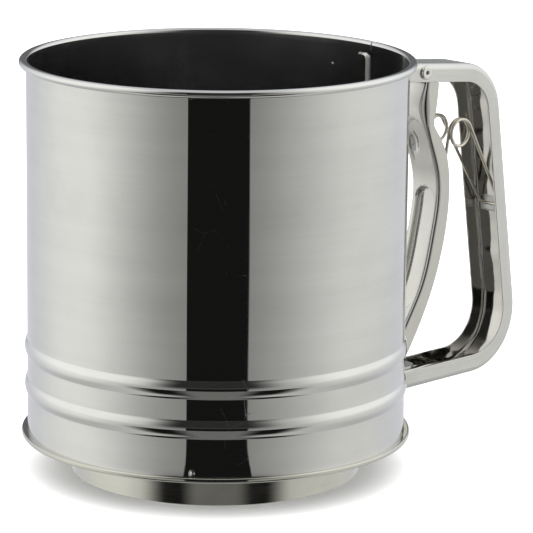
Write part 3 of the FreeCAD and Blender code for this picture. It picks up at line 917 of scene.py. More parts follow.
@dataclass
class Base(Assembly):
    """Drawn base: seamed outer edge, floor ring and foot collar with its folded lower edge."""

    hem_radius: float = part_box("base_ring")[1].x / MM
    top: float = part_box("base_ring")[1].z / MM
    hem_bottom: float = 12.2
    wall_radius: float = 62.68
    foot_radius: float = 48.24
    sheet: float = 0.5
    foot_sheet: float = 0.6
    foot_hem: float = 1.8
    taper: float = 0.45

    def profile(self) -> np.ndarray:
        """Closed profile of the base, with the drawn corners rounded and the foot a little narrower below."""
        inside = self.foot_radius - self.foot_sheet
        fold = inside - self.foot_sheet
        z0, z1 = self.hem_bottom, self.top
        corners = [
            (self.foot_radius - self.taper, 0), (self.foot_radius, z0),
            (self.hem_radius, z0), (self.hem_radius, z1),
            (self.wall_radius, z1), (self.wall_radius, z1 - self.sheet),
            (self.hem_radius - self.sheet, z1 - self.sheet), (self.hem_radius - self.sheet, z0 + self.sheet),
            (inside, z0 + self.sheet), (inside, self.foot_hem), (fold, self.foot_hem), (fold, 0),
        ]
        radii = [0.28, 0.7, 0.55, 0.5, 0.2, 0.1, 0.1, 0.1, 1.1, 0.05, 0.25, 0.28]
        return fillet(np.array(corners), np.array(radii), steps=6, hold=0.15)

    def build(self) -> None:
        """Makes the base ring."""
        base = lathe(self.profile(), count=288)
        self.place("base_with_foot", [base], "base_ring", "base_satin", "base_steel")


@dataclass
class Screen(Assembly):
    """Woven mesh bound by a folded rim, held by a hoop, with the rivet that the agitator turns on."""

    mesh_radius: float = 46.8
    middle: float = 8.9
    wire: float = 0.15
    pitch: float = 1.5

    def weave(self, crosswise: bool) -> list[Shell]:
        """Every wire that runs one way.

        The wire at offset b runs along the chord of the mesh disc and rises and falls as
        wire cos(pi t / pitch) with the sign of its row, so it passes over and under the other way's wires.

        Args:
            crosswise: False for wires along X, True for wires along Y.

        Returns:
            One square tube for each wire.
        """
        count = int(self.mesh_radius / self.pitch)
        shells = []
        for row in range(-count, count + 1):
            offset = row * self.pitch
            chord = math.sqrt(self.mesh_radius**2 - offset**2)
            steps = max(2, int(round(chord / self.pitch * 2)))
            t = np.linspace(-steps, steps, 2 * steps + 1) * self.pitch / 2
            t = t[np.abs(t) <= chord]
            sign = (-1) ** (row + int(crosswise))
            rise = sign * self.wire * np.cos(math.pi * t / self.pitch)
            line = np.stack([t, offset + 0 * t, self.middle + rise], 1)
            ring = np.array([(0, 1, 0), (0, 0, 1), (0, -1, 0), (0, 0, -1)], float) * self.wire * 1.15
            points = line[:, None] + ring[None]
            if crosswise:
                points = points[..., [1, 0, 2]]
            shells.append(Shell(points, wrap_columns=True))
        return shells

    def rim_profile(self) -> np.ndarray:
        """C-shaped section of the rim that binds the mesh, open towards the axis."""
        outer, lip, sheet = 47.59, 44.64, 0.6
        low, high = 8.0, 9.8
        inner = outer - sheet
        corners = [(lip, low), (outer, low), (outer, high), (lip, high), (lip, high - sheet),
                   (inner, high - sheet), (inner, low + sheet), (lip, low + sheet)]
        return fillet(np.array(corners), np.array([0.2, 0.4, 0.4, 0.2, 0.15, 0.02, 0.02, 0.15]), hold=0.08)

    def rivet_profile(self) -> np.ndarray:
        """Centre rivet: low head below the mesh, shank, domed head above the hub."""
        corners = [(0, 6.9), (4.0, 6.9), (4.0, 8.0), (2.0, 8.0),
                   (2.0, 18.1), (4.4, 18.1), (4.4, 19.0), (0, 19.0)]
        radii = [0, 0.45, 0.1, 0.05, 0.05, 0.1, 0.5, 0]
        return fillet(np.array(corners), np.array(radii), closed=False)

    def build(self) -> None:
        """Makes the woven mesh, its rim, the hoop, both washers and the centre rivet."""
        for crosswise, name in ((False, "mesh_wires_lengthwise"), (True, "mesh_wires_crosswise")):
            self.place(name, self.weave(crosswise), "mesh_screen", "mesh_wire", "mesh_wire",
                       cap=True, sharp=95)
        rim = lathe(self.rim_profile(), count=192)
        self.place("screen_rim_fold", [rim], "screen_rim", "bare_steel", "bare_steel")
        hoop = ring_profile(46.94, 47.61, 1.82, 7.98, 0.15)
        self.place("screen_hoop_ring", [lathe(hoop, count=192)], "screen_hoop", "bare_steel", "bare_steel")
        for name, z0 in (("mesh_washer_upper", 9.2), ("mesh_washer_lower", 8.0)):
            ring = lathe(ring_profile(2.05, 6.0, z0, z0 + 0.6, 0.1))
            self.place(name + "_turned", [ring], name, "bare_steel", "bare_steel")
        self.place("centre_rivet_headed", [lathe(self.rivet_profile(), count=64)], "centre_rivet",
                   "rivet_polish", "rivet_steel")


@dataclass
class Agitator(Assembly):
    """Hub, two crossed blades, spacer and crank that the link swings over the mesh."""

    body: str = "agitator"
    bore: float = 2.06
    hub_radius: float = 4.0
    hub_low: float = 9.95
    hub_high: float = 18.0
    flange_radius: float = 6.0
    flange_top: float = 10.6
    arm_low: float = 17.0
    crank: tuple[float, float] = (-10.982, 27.918)

    def hub_profile(self) -> np.ndarray:
        """Flanged tube round the centre rivet."""
        corners = [(self.bore, self.hub_low), (self.flange_radius, self.hub_low),
                   (self.flange_radius, self.flange_top), (self.hub_radius, self.flange_top),
                   (self.hub_radius, self.hub_high), (self.bore, self.hub_high)]
        return fillet(np.array(corners), np.array([0.1, 0.12, 0.12, 0.2, 0.25, 0.15]), hold=0.06)

    def pin_profile(self) -> np.ndarray:
        """Crank pin: flat head below the arm, shank, domed head above the link."""
        corners = [(0, 16.2), (2.9, 16.2), (2.9, self.arm_low), (1.6, self.arm_low),
                   (1.6, 20.3), (2.9, 20.3), (2.9, 21.2), (0, 21.2)]
        return fillet(np.array(corners), np.array([0, 0.3, 0.1, 0.05, 0.05, 0.1, 0.45, 0]), closed=False)

    def build(self) -> None:
        """Makes the turned pieces and dresses the sheet ones."""
        x, y = self.crank
        hub = lathe(self.hub_profile(), count=64)
        self.place("rotor_hub_turned", [hub], "rotor_hub", "bare_steel", "bare_steel")
        spacer = lathe(ring_profile(4.02, 5.4, 12.0, self.arm_low, 0.15), count=64)
        self.place("hub_spacer_turned", [spacer], "hub_spacer", "bare_steel", "bare_steel")
        pin = moved_to(lathe(self.pin_profile(), count=48), x, y)
        self.place("crank_rivet_headed", [pin], "crank_rivet", "rivet_polish", "rivet_steel")
        washer = moved_to(lathe(ring_profile(1.62, 3.6, 17.8, 18.95, 0.15), count=48), x, y)
        self.place("crank_washer_turned", [washer], "crank_washer", "bare_steel", "bare_steel")
        for node in ("agitator_blade_lower", "agitator_blade_upper", "crank_arm"):
            self.keep(node, "blade_satin")


@dataclass
class ChannelSection:
    """Cross-section of a folded channel, in (n, y): n from the web's outer face, y across.

    Attributes:
        half: half of the width over the flanges.
        sheet: sheet thickness.
        web: places across the web as shares of its flat half-width, from -1 to 1.
        flange: places down a flange as shares of its flat part, from the free edge (1) to the bend (0).
        bend_steps: straight pieces in each bend.
    """

    half: float
    sheet: float
    web: np.ndarray
    flange: np.ndarray = field(default_factory=lambda: np.array([1.0, 0.97, 0.5, 0.04]))
    bend_steps: int = 6

    def face(self, bend: np.ndarray, depth: np.ndarray, inner: bool) -> np.ndarray:
        """One face of the sheet, from the free edge at -y over the web to the free edge at +y.

        A flange is y = +-half with n running from the bend to the free edge, the bend is a quarter circle
        about (bend, half - bend), and the web is n = 0. The inner face is the same with the half-width
        and the bend one sheet smaller and n one sheet larger.

        Args:
            bend: outer bend radius at each station.
            depth: flange depth at each station.
            inner: whether it is the face inside the channel.

        Returns:
            (stations, columns, 2) array of (n, y).
        """
        shift = self.sheet if inner else 0.0
        half = self.half - shift
        round_ = np.maximum(bend - shift, 0.1)[:, None]
        deep = depth[:, None]
        top = round_ + shift
        fall = top + (deep - top) * self.flange[None, :]
        angle = np.linspace(0, math.pi / 2, self.bend_steps + 1)[None, :]
        bend_n = top - round_ * np.sin(angle)
        bend_y = half - round_ + round_ * np.cos(angle)
        web_y = self.web[None, :] * (half - round_)
        n = np.concatenate([fall, bend_n, shift + 0 * web_y[:, 1:-1], bend_n[:, ::-1], fall[:, ::-1]], 1)
        side = np.full_like(fall, half)
        y = np.concatenate([-side, -bend_y, web_y[:, 1:-1], bend_y[:, ::-1], side[:, ::-1]], 1)
        return np.stack([n, y], -1)

    def loop(self, bend: np.ndarray, depth: np.ndarray) -> np.ndarray:
        """Closed section at each station: the outer face, then the inner face back.

        Args:
            bend: outer bend radius at each station.
            depth: flange depth at each station.

        Returns:
            (stations, columns, 2) array of (n, y).
        """
        outer = self.face(bend, depth, False)
        inner = self.face(bend, depth, True)[:, ::-1]
        edge = 0.14
        for loop in (outer, inner):
            loop[:, [0, -1], 0] -= edge
        corner_y = np.array([self.half - edge, self.half - self.sheet + edge])
        lip = np.stack([np.repeat(depth[:, None], 2, 1), np.repeat(corner_y[None], len(depth), 0)], -1)
        far = lip[:, ::-1] * np.array([1, -1])
        return np.concatenate([outer, lip, inner, far], 1)


def swept(section: np.ndarray, path: np.ndarray, inward: np.ndarray) -> np.ndarray:
    """Section loops carried along a path in the XZ plane: place = path + n inward + y across.

    Args:
        section: (stations, columns, 2) array of (n, y).
        path: (stations, 2) points of the web's outer face.
        inward: (stations, 2) unit directions from the web into the channel.

    Returns:
        (stations, columns, 3) array.
    """
    n, y = section[..., 0], section[..., 1]
    x = path[:, None, 0] + n * inward[:, None, 0]
    z = path[:, None, 1] + n * inward[:, None, 1]
    return np.stack([x, y, z], -1)


@dataclass
class Handle(Assembly):
    """Channel-section handle with four weld ears, the spring's window and its lanced tab.

    Attributes:
        corners: (x, z) corners of the web's outer face, from the upper weld to the lower one.
        radii: radii of the two corners of the grip.
        buckles: how far the inner faces wander.
        ear_reach: how far the weld ears reach to each side.
        ear_heights: lower and upper edge of the upper ears and of the lower ones.
    """

    width: float = 15.34
    depth: float = 6.5
    sheet: float = 0.7
    bend: float = 2.1
    buckles: float = 0.13
    corners: tuple[tuple[float, float], ...] = (
        (61.0, 130.16), (127.64, 123.26), (143.2, 13.2), (61.0, 12.15))
    radii: tuple[float, float] = (19.0, 21.5)
    wall_radius: float = 62.66
    hem_radius: float = 64.62
    hem_top: float = 14.0
    window: Box = Box((130.0, -5.1, 68.3), (140.0, 5.1, 74.2))
    ear_reach: float = 12.4
    ear_heights: tuple[tuple[float, float], ...] = ((124.2, 129.6), (14.0, 18.2))

    def path(self) -> np.ndarray:
        """Web's outer face from the upper weld round to the lower one, with rows at the window's edges."""
        corners = np.array(self.corners)
        rounded = fillet(corners, np.array([0, *self.radii, 0]), steps=26, hold=1.2, closed=False)
        heights = np.array([self.window.high[2], self.window.low[2]])
        edges = (corners[1, 1] - heights) / (corners[1, 1] - corners[2, 1])
        grip = np.r_[edges, np.linspace(0.2, 0.74, 36)]
        spread = (np.linspace(0.05, 0.72, 18), grip, np.linspace(0.34, 0.95, 18))
        runs = [a + (b - a) * share[:, None] for a, b, share in zip(corners, corners[1:], spread)]
        every = np.concatenate([rounded, *runs])
        order = np.argsort(self.clock(every))
        return without_repeats(every[order])

    def clock(self, points: np.ndarray) -> np.ndarray:
        """How far round the handle each point is, as a clockwise angle about the hollow of the grip."""
        return np.arctan2(points[:, 0] - 60.9, points[:, 1] - 70.0)

    def surface(self) -> np.ndarray:
        """The channel's grid of points."""
        path = self.path()
        tangent = unit(np.gradient(path, axis=0))
        inward = np.stack([tangent[:, 1], -tangent[:, 0]], 1)
        share = self.window.high[1] / (self.width / 2 - self.bend)
        web = np.unique(np.r_[np.linspace(-1, 1, 9), -share, share])
        section = ChannelSection(self.width / 2, self.sheet, web)
        count = len(path)
        loops = section.loop(np.full(count, self.bend), np.full(count, self.depth))
        self.buckle(loops, length_along(path))
        points = swept(loops, path, inward)
        for row in (0, -1):
            across, high = points[row, :, 1], points[row, :, 2]
            limit = np.where(high < self.hem_top, self.hem_radius, self.wall_radius)
            points[row, :, 0] = np.sqrt(limit**2 - across**2)
        return points

    def buckle(self, loops: np.ndarray, s: np.ndarray) -> None:
        """Lets the inner faces wander a little, as pressed sheet does.

        The wave is buckles (sin(0.33 s + 0.8) + 0.5 sin(0.71 s + 0.4 n)), across the flanges and into the web.

        Args:
            loops: the section at each station, changed in place.
            s: distance of each station along the handle.
        """
        face = loops.shape[1] // 2 - 2
        inner = loops[:, face + 2:2 * face + 2]
        n = inner[..., 0].copy()
        wave = self.buckles * (np.sin(0.33 * s[:, None] + 0.8) + 0.5 * np.sin(0.71 * s[:, None] + 0.4 * n))
        inner[..., 1] += wave * step_of(n, self.bend * 0.7, self.bend * 1.7)
        inner[..., 0] += wave * (1 - step_of(n, self.sheet + 0.1, self.bend))

    def ears(self) -> list[Shell]:
        """Weld ears: flange ends turned out flat on the wall, rounded at their edges."""
        shells = []
        inner, outer = self.wall_radius, self.wall_radius + self.sheet
        start = math.asin((self.width / 2 - self.sheet * 0.9) / outer)
        end = math.asin(self.ear_reach / outer)
        for z0, z1 in self.ear_heights:
            profile = ring_profile(inner, outer, z0, z1, 0.2)
            for angles in (np.linspace(start, end, 8), np.linspace(-end, -start, 8)):
                shells.append(lathe(profile, angles))
        return shells

    def tab(self) -> Shell:
        """Tongue lanced out of the web that holds the spring's bridge."""
        root, tip = np.array([134.95, 68.2]), np.array([132.4, 72.6])
        step = unit(tip - root)
        side = np.array([step[1], -step[0]]) * self.sheet / 2
        outline = fillet(np.array([root + side, tip + side, tip - side, root - side]),
                         np.array([0, 0.2, 0.2, 0]), steps=4, hold=0.1)
        return slab(outline, -3.5, 3.5)

    def build(self) -> None:
        """Makes the handle with satin outsides and shinier insides, whose darker, warmer colour is painted
        shade inside the channel.
        """
        shells = [Shell(self.surface(), wrap_columns=True), *self.ears(), self.tab()]
        piece = self.place("handle_channel", shells, "handle", "handle_satin", "handle_steel", cap=True,
                           hole=self.window, sharp=42)
        # Inner faces get the shinier finish whose darker, warmer colour is painted shade inside the channel.
        self.paint(piece, "handle_inside_shaded", self.is_inside)

    def is_inside(self, middle: np.ndarray, normal: np.ndarray) -> np.ndarray:
        """Faces that look into the channel: the web's inner face and the flanges' inner faces.

        Args:
            middle: every face's middle in millimetres.
            normal: every face's normal.

        Returns:
            True for each face that does.
        """
        hollow = np.array([95.0, 0.0, 70.0])
        to_hollow = unit((hollow - middle) * np.array([1, 0, 1]))
        off = np.abs(middle[:, 1])
        on_web = ((normal * to_hollow).sum(1) > 0.3) & (off < self.width / 2 - self.sheet)
        on_flange = (off < self.width / 2 - self.sheet / 2) & (normal[:, 1] * middle[:, 1] < 0)
        return on_web | on_flange


@dataclass
class Trigger(Assembly):
    """Channel-section squeeze lever with lugs on the pivot, pressed groove, thumb dent and tongue.

    Attributes:
        web: (x, z) knots of the web's outer face, from the pivot down.
        free: (x, z) knots of the flanges' free edge below the neck.
        neck: the same beside the pivot.
        groove: where the pressed groove starts and ends, as distances down the web.
        arch: middle (down, across) and half-lengths (down, across) of the shallow arch near the top.
        thumb_dent: the same for the dent in it.
    """

    body: str = "trigger"
    width: float = 13.2
    sheet: float = 0.6
    bend: float = 1.3
    web: tuple[tuple[float, float], ...] = (
        (93.1, 120.6), (91.9, 111.0), (94.7, 99.5), (99.6, 83.5), (97.4, 66.0), (92.0, 48.0),
        (83.0, 33.0), (77.6, 22.6))
    free: tuple[tuple[float, float], ...] = (
        (96.9, 104.2), (102.9, 95.0), (105.2, 83.0), (104.0, 68.0), (98.5, 49.0), (89.4, 31.2),
        (82.9, 21.4))
    neck: tuple[tuple[float, float], ...] = ((99.0, 121.5), (97.9, 111.5), (96.5, 105.4))
    pivot: tuple[float, float] = (90.7, 123.9)
    groove: tuple[float, float] = (44.6, 80.0)
    groove_half: float = 4.4
    groove_deep: float = 2.2
    arch: tuple[float, float, float, float] = (21.8, -0.3, 7.7, 5.0)
    arch_deep: float = 0.9
    thumb_dent: tuple[float, float, float, float] = (23.2, 2.2, 4.9, 2.3)
    dent_deep: float = 0.8

    def press(self, s: np.ndarray, y: np.ndarray) -> np.ndarray:
        """How far the web is pressed in.

        The groove is a stadium: the distance from the segment between its two end centres, taken through a
        smooth step at its half-width. The arch and the dent in it are ellipses given by their middle (s, y)
        and their half-lengths. The arch is twice as long below its middle, where its floor comes back to
        the web's level.

        Args:
            s: distance down the web.
            y: place across it.

        Returns:
            The depth at each place.
        """
        s0, s1 = self.groove
        off = np.hypot(y, s - np.clip(s, s0, s1))
        groove = self.groove_deep * step_of(self.groove_half - off, -0.15, 0.6)
        at, across, tall, wide = self.arch
        arch_off = np.hypot((s - at) / (tall * np.where(s > at, 2.0, 1.0)), (y - across) / wide)
        arch = self.arch_deep * step_of(1.0 - arch_off, -0.02, 0.09) * (1 - step_of(s, at, 33.0))
        at, across, tall, wide = self.thumb_dent
        dent_off = np.hypot((s - at) / tall, (y - across) / wide)
        dent = self.dent_deep * step_of(1.0 - dent_off, -0.02, 0.8)
        return groove + arch + dent

    def depths(self, path: np.ndarray, inward: np.ndarray) -> np.ndarray:
        """Flange depth at each station: where the inward line from the web meets the free edge.

        Args:
            path: (stations, 2) points of the web.
            inward: (stations, 2) unit directions.

        Returns:
            The depth at each station.
        """
        edge = np.concatenate([smooth_through(np.array(self.neck), 600),
                               np.linspace(self.neck[-1], self.free[0], 40)[1:-1],
                               smooth_through(np.array(self.free), 2400)])
        reach = edge[None] - path[:, None]
        off = np.abs(reach[..., 0] * inward[:, None, 1] - reach[..., 1] * inward[:, None, 0])
        deep = (reach * inward[:, None]).sum(-1)
        off = np.where((deep > 0.5) & (deep < 12), off, 1e3)
        found = deep[np.arange(len(path)), off.argmin(1)]
        return np.convolve(np.pad(found, 2, mode="edge"), np.full(5, 0.2), mode="valid")

    def surface(self) -> np.ndarray:
        """The lever's grid of points."""
        path = smooth_through(np.array(self.web), 190)
        tangent = unit(np.gradient(path, axis=0))
        inward = np.stack([-tangent[:, 1], tangent[:, 0]], 1)
        s = length_along(path)
        bend = self.bend + 1.7 * bump_of(s - 10.0, 5.5)
        section = ChannelSection(self.width / 2, self.sheet, np.linspace(-1, 1, 43))
        loops = section.loop(bend, self.depths(path, inward))
        on_web = step_of(self.width / 2 - np.abs(loops[..., 1]), 0.9, 1.6) * (loops[..., 0] < 1.2)
        loops[..., 0] += on_web * self.press(s[:, None], loops[..., 1])
        return swept(loops, path, inward)

    def lugs(self) -> list[Shell]:
        """Two plates from the channel's top up round the pivot."""
        round_top = arc_points(self.pivot, 2.05, np.linspace(232, 66, 14))
        outline = np.concatenate([[self.web[0]], round_top, [self.neck[0]]])
        half = self.width / 2
        return [slab(outline, half - self.sheet, half), slab(outline, -half, self.sheet - half)]

    def tongue(self) -> Shell:
        """Tongue below the web that takes the link bar."""
        corners = np.array([(77.6, 16.8), (78.3, 16.8), (78.3, 24.0), (77.6, 24.0)])
        return slab(fillet(corners, np.array([0.2, 0.2, 0.05, 0.05]), steps=3, hold=0.05), -2.0, 2.0)

    def build(self) -> None:
        """Makes the lever."""
        shells = [Shell(self.surface(), wrap_columns=True), *self.lugs(), self.tongue()]
        self.place("trigger_lever_pressed", shells, "trigger_lever", "trigger_polish", "trigger_steel",
                   cap=True, sharp=42)


@dataclass
class Pivot(Assembly):
    """Tubular rivet across the handle and the bush between the trigger's lugs."""

    at: tuple[float, float] = (90.7, 123.9)
    side: float = 7.67
    bush_half: float = 5.98

    def rivet_profile(self) -> np.ndarray:
        """Rivet from its domed head at -Y, through the bore, to its rolled end at +Y."""
        s = self.side
        corners = [(0.65, -s - 0.95), (2.4, -s - 0.95), (2.4, -s), (1.5, -s),
                   (1.5, s), (2.3, s), (2.3, s + 0.8), (0.65, s + 0.8)]
        radii = [0.35, 0.55, 0.12, 0.05, 0.05, 0.1, 0.45, 0.3]
        return fillet(np.array(corners), np.array(radii), steps=6, hold=0.05)

    def build(self) -> None:
        """Makes the rivet and the bush."""
        x, z = self.at
        rivet = laid_along_y(lathe(self.rivet_profile(), count=64), x, z)
        self.place("pivot_rivet_rolled", [rivet], "pivot_rivet", "rivet_polish", "rivet_steel")
        bush = lathe(ring_profile(1.56, 2.15, -self.bush_half, self.bush_half, 0.12), count=48)
        self.place("pivot_bush_turned", [laid_along_y(bush, x, z)], "pivot_bush", "bare_steel", "bare_steel")


@dataclass
class Spring(Assembly):
    """Double torsion spring: one wire from a trigger leg, over both coils, to the other trigger leg.

    Attributes:
        wire: the wire's radius.
        coil_y: distance of each coil's inner and outer end from the middle plane.
        start_degrees, end_degrees: angles of the coil's two ends; it turns the way that angles fall.
        leg_end: (x, y, z) of the corner where a coil's long leg meets the bridge's short run.
        bridge: (x, y, z) of the bridge's corner.
    """

    wire: float = 0.6
    coil_radius: float = 4.75
    centre: tuple[float, float] = (110.9, 100.3)
    coil_y: tuple[float, float] = (4.66, 6.4)
    start_degrees: float = 184.0
    end_degrees: float = 30.5 - 360.0
    leg_tip: tuple[float, float] = (101.35, 83.5)
    leg_knee: tuple[float, float] = (105.0, 93.3)
    leg_end: tuple[float, float, float] = (133.5, 4.8, 71.6)
    bridge: tuple[float, float, float] = (134.8, 3.3, 70.9)

    def half_path(self) -> np.ndarray:
        """Centre line from the trigger leg's tip to the bridge's middle, on the -Y side.

        The coil is x = cx + r cos a, z = cz + r sin a with y running evenly outwards as a falls.

        Returns:
            (n, 3) points.
        """
        angle = np.radians(np.linspace(self.start_degrees, self.end_degrees, 120))
        y = -np.linspace(*self.coil_y, len(angle))
        coil = np.stack([self.centre[0] + self.coil_radius * np.cos(angle), y,
                         self.centre[1] + self.coil_radius * np.sin(angle)], 1)
        near = -self.coil_y[0]
        tip = np.array([self.leg_tip[0], near, self.leg_tip[1]])
        knee = np.array([self.leg_knee[0], near, self.leg_knee[1]])
        end = np.array(self.leg_end) * np.array([1, -1, 1])
        corner = np.array(self.bridge) * np.array([1, -1, 1])
        leg = fillet(np.stack([tip, knee, coil[0]]), np.array([0, 3.0, 0]), steps=6, hold=0.8, closed=False)
        middle = corner * np.array([1, 0, 1])
        down = fillet(np.stack([coil[-1], end, corner, middle]), np.array([0, 1.2, 0.9, 0]),
                      steps=6, hold=0.4, closed=False)
        straight = coil[-1] + (down[1] - coil[-1]) * np.linspace(0.1, 0.9, 12)[:, None]
        return without_repeats(np.concatenate([leg, coil[1:], straight, down[1:]]))

    def build(self) -> None:
        """Makes the spring's wire between the handle and the trigger, unparented and baked in place."""
        half = self.half_path()
        mirrored = (half * np.array([1, -1, 1]))[::-1]
        path = without_repeats(np.concatenate([half, mirrored[1:]]))
        tangent = unit(np.gradient(path, axis=0))
        sign = np.where(np.arange(len(path)) < len(path) / 2, 1.0, -1.0)[:, None]
        across = np.stack([-tangent[:, 2], 0 * tangent[:, 0], tangent[:, 0]], 1) * sign
        steady = unit(np.array([0.75, 0.0, 0.6]))
        normals = unit(across + 0.02 * steady)
        piece = self.place("torsion_spring_wire", [tube(path, self.wire, normals, 14)], "torsion_spring",
                           "spring_wire", "spring_wire", cap=True, sharp=80)
        log.info("spring wire is %.0f mm long", length_along(path)[-1])
        piece.parent = None
        piece.matrix_world = Matrix.Identity(4)
        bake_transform(piece)


@dataclass
class Link(Assembly):
    """Flat bar from the trigger's tongue to the crank, and the guard it slides through."""

    body: str = "link"

    def build(self) -> None:
        """Dresses the bar and the guard, whose CAD shapes are already right."""
        self.keep("link_bar", "blade_satin")
        self.keep("slot_guard", "blade_satin")


# ------------------------------------------------------------------ studio
@dataclass(frozen=True)
class RoomPart:
    """One soft light, or one dim part, of the room that polished steel mirrors.

    Attributes:
        name: what it is.
        level: its brightness.
        turn: its middle, in degrees about the vertical from the camera's side, positive to the right.
        half: half of its width in degrees.
        feather: degrees over which it fades out on both sides.
        low: its lower edge, in degrees above the horizon.
        high: its upper edge.
        fade: degrees over which it fades out above and below.
    """

    name: str
    level: float
    turn: float
    half: float
    feather: float
    low: float = -90.0
    high: float = 90.0
    fade: float = 1.0

    def share(self, w: Wiring, turn: bpy.types.NodeSocket,
              height: bpy.types.NodeSocket) -> bpy.types.NodeSocket:
        """How much of the part a direction sees.

        Args:
            w: the tree's wiring.
            turn: the direction's turn in degrees.
            height: its height in degrees.

        Returns:
            1 in the middle of the part and 0 outside it.
        """
        off = w.node("Math", {0: w.maths("SUBTRACT", turn, self.turn), 1: 180.0, 2: -180.0}, operation="WRAP")
        beside = w.remap(w.maths("ABSOLUTE", off.outputs[0]), self.half, self.half + self.feather, 1.0, 0.0)
        above = w.remap(height, self.low - self.fade, self.low, 0.0, 1.0)
        below = w.remap(height, self.high, self.high + self.fade, 1.0, 0.0)
        return w.maths("MULTIPLY", beside, w.maths("MULTIPLY", above, below))


ROOM = (
    RoomPart("left_light", 1.0, turn=-90, half=5, feather=60),
    RoomPart("right_light", 0.85, turn=105, half=0, feather=60),
    RoomPart("near_side", 0.3, turn=0, half=8, feather=80),
    RoomPart("left_light_top", 1.2, turn=-90, half=10, feather=60, low=10, fade=24),
    RoomPart("right_light_top", 1.2, turn=105, half=10, feather=60, low=10, fade=24),
    RoomPart("dark_over_camera", 0.03, turn=0, half=20, feather=25, low=10, fade=24),
    RoomPart("gap_at_camera", 0.01, turn=1.5, half=18, feather=1, low=-20, high=-4, fade=12),
    RoomPart("table_aside", 0.6, turn=180, half=110, feather=30, high=-40, fade=28),
    RoomPart("table_shade", 0.01, turn=1.5, half=40, feather=25, high=-20, fade=1.5),
    RoomPart("table_in_front", 0.19, turn=1.5, half=14, feather=16, high=-20, fade=1.5),
    RoomPart("table_close_by", 0.6, turn=180, half=120, feather=50, high=-68, fade=20),
    RoomPart("dim_backdrop", 0.16, turn=180, half=10, feather=22, low=0, high=20, fade=12),
    RoomPart("ceiling", 0.7, turn=0, half=180, feather=1, low=72, fade=14),
)


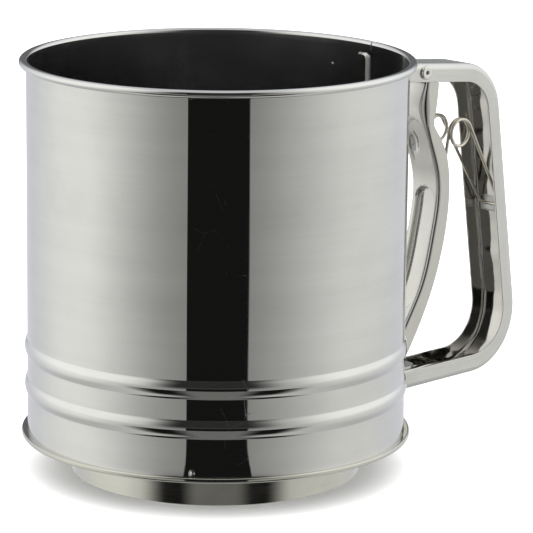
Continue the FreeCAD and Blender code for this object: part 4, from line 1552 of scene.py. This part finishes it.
@dataclass
class Studio:
    """Pale floor, soft surrounding light and the camera.

    Attributes:
        camera_place: in millimetres, as every length.
        camera_turn, camera_down, camera_roll: in degrees.
        room_level: brightness of the room between its parts.
        cool, warm: tints behind the sifter and in front of it.
        floor_light: brightness that everything which is not a mirror sees.
    """

    camera_place: tuple[float, float, float] = (-755.92, -802.45, 317.58)
    camera_turn: float = 43.29 + math.degrees(0.0149)
    camera_down: float = math.degrees(0.2225)
    camera_roll: float = math.degrees(0.0105)
    lens: float = 231.1
    sensor: float = 36.0
    room_level: float = 0.75
    cool: tuple[float, float, float, float] = (0.97, 0.99, 1.03, 1.0)
    warm: tuple[float, float, float, float] = (1.01, 1.005, 0.965, 1.0)
    floor_light: float = 2.2

    def light(self) -> None:
        """Lights the room.

        Polished steel mirrors the whole room, so the room is drawn as brightness by direction: an even soft
        white, and over it, one after the other, each part of ROOM by its share. It is a little warm in front
        and a little cool behind. Everything that is not a mirror sees an even white room.
        """
        world = bpy.data.worlds.new("soft_white_studio")
        bpy.context.scene.world = world
        world.use_nodes = True
        tree = world.node_tree
        tree.nodes.clear()
        w = Wiring(tree)
        direction = w.node("TexCoord").outputs["Generated"]
        facing = math.radians(self.camera_turn)
        to_camera = (-math.sin(facing), -math.cos(facing), 0.0)
        to_right = (-to_camera[1], to_camera[0], 0.0)
        near, right = (w.node("VectorMath", {0: direction, 1: way}, operation="DOT_PRODUCT").outputs["Value"]
                       for way in (to_camera, to_right))
        turn = w.maths("MULTIPLY", w.maths("ARCTAN2", right, near), math.degrees(1.0))
        up = w.node("SeparateXYZ", {0: direction}).outputs[2]
        height = w.maths("MULTIPLY", w.maths("ARCSINE", up), math.degrees(1.0))
        room = self.room_level
        for part in ROOM:
            room = w.node("Mix", {0: part.share(w, turn, height), 2: room, 3: part.level}).outputs[0]
        behind = w.remap(w.maths("ABSOLUTE", turn), 95.0, 160.0, 0.0, 1.0)
        tint = w.node("Mix", {0: behind, 6: self.warm, 7: self.cool}, data_type="RGBA").outputs[2]
        mirror = w.node("Background", {"Color": tint, "Strength": room})
        even = w.node("Background", {"Color": (1.0, 1.0, 1.0, 1.0), "Strength": self.floor_light})
        ray = w.node("LightPath").outputs["Is Glossy Ray"]
        both = w.node("MixShader", {0: ray, 1: even.outputs[0], 2: mirror.outputs[0]})
        output = w.node("OutputWorld")
        tree.links.new(both.outputs[0], output.inputs[0])

    def floor(self) -> None:
        """A wide pale disc to stand on, which the polished steel does not mirror."""
        radii = np.array([0.0, 200.0, 500.0, 1500.0, 5000.0, 30000.0])
        grid = lathe(np.stack([radii, 0 * radii - 0.02], 1), count=64)
        grid.wrap_rows = False
        mesh = mesh_of("studio_floor", [grid])
        bm = bmesh.new()
        bm.from_mesh(mesh)
        bmesh.ops.remove_doubles(bm, verts=bm.verts, dist=1e-6)
        bm.to_mesh(mesh)
        bm.free()
        material = bpy.data.materials.new("pale_floor")
        material.use_nodes = True
        shader = material.node_tree.nodes["Principled BSDF"]
        shader.inputs["Base Color"].default_value = (0.93, 0.93, 0.93, 1.0)
        shader.inputs["Roughness"].default_value = 1.0
        shader.inputs["Specular IOR Level"].default_value = 0.0
        mesh.materials.append(material)
        ground = bpy.data.objects.new("studio_floor", mesh)
        bpy.context.scene.collection.objects.link(ground)
        ground.visible_glossy = False

    def camera(self) -> None:
        """Long lens looking a little down on the cup, the handle to the right and turned away."""
        lens = bpy.data.cameras.new("camera")
        lens.sensor_width = self.sensor
        lens.lens = self.lens
        lens.clip_start, lens.clip_end = 0.01, 100.0
        camera = bpy.data.objects.new("camera", lens)
        bpy.context.scene.collection.objects.link(camera)
        turned = Matrix.Rotation(math.radians(-self.camera_turn), 4, "Z")
        raised = Matrix.Rotation(math.radians(90 - self.camera_down), 4, "X")
        rolled = Matrix.Rotation(math.radians(self.camera_roll), 4, "Z")
        moved = Matrix.Translation([c * MM for c in self.camera_place])
        camera.matrix_world = moved @ turned @ raised @ rolled
        bpy.context.scene.camera = camera

    def build(self) -> None:
        """Makes floor, light and camera, and shows colours as they are."""
        self.floor()
        self.light()
        self.camera()
        bpy.context.scene.view_settings.view_transform = "Standard"


def main() -> None:
    """Builds the sifter piece by piece, then the studio round it."""
    logging.basicConfig(level=logging.INFO, format="%(message)s", stream=sys.stdout)
    palette = Palette()
    for assembly in (Cup, Base, Screen, Agitator, Link, Handle, Trigger, Pivot, Spring):
        assembly(palette).build()
    Studio().build()


if __name__ == "__main__":
    main()
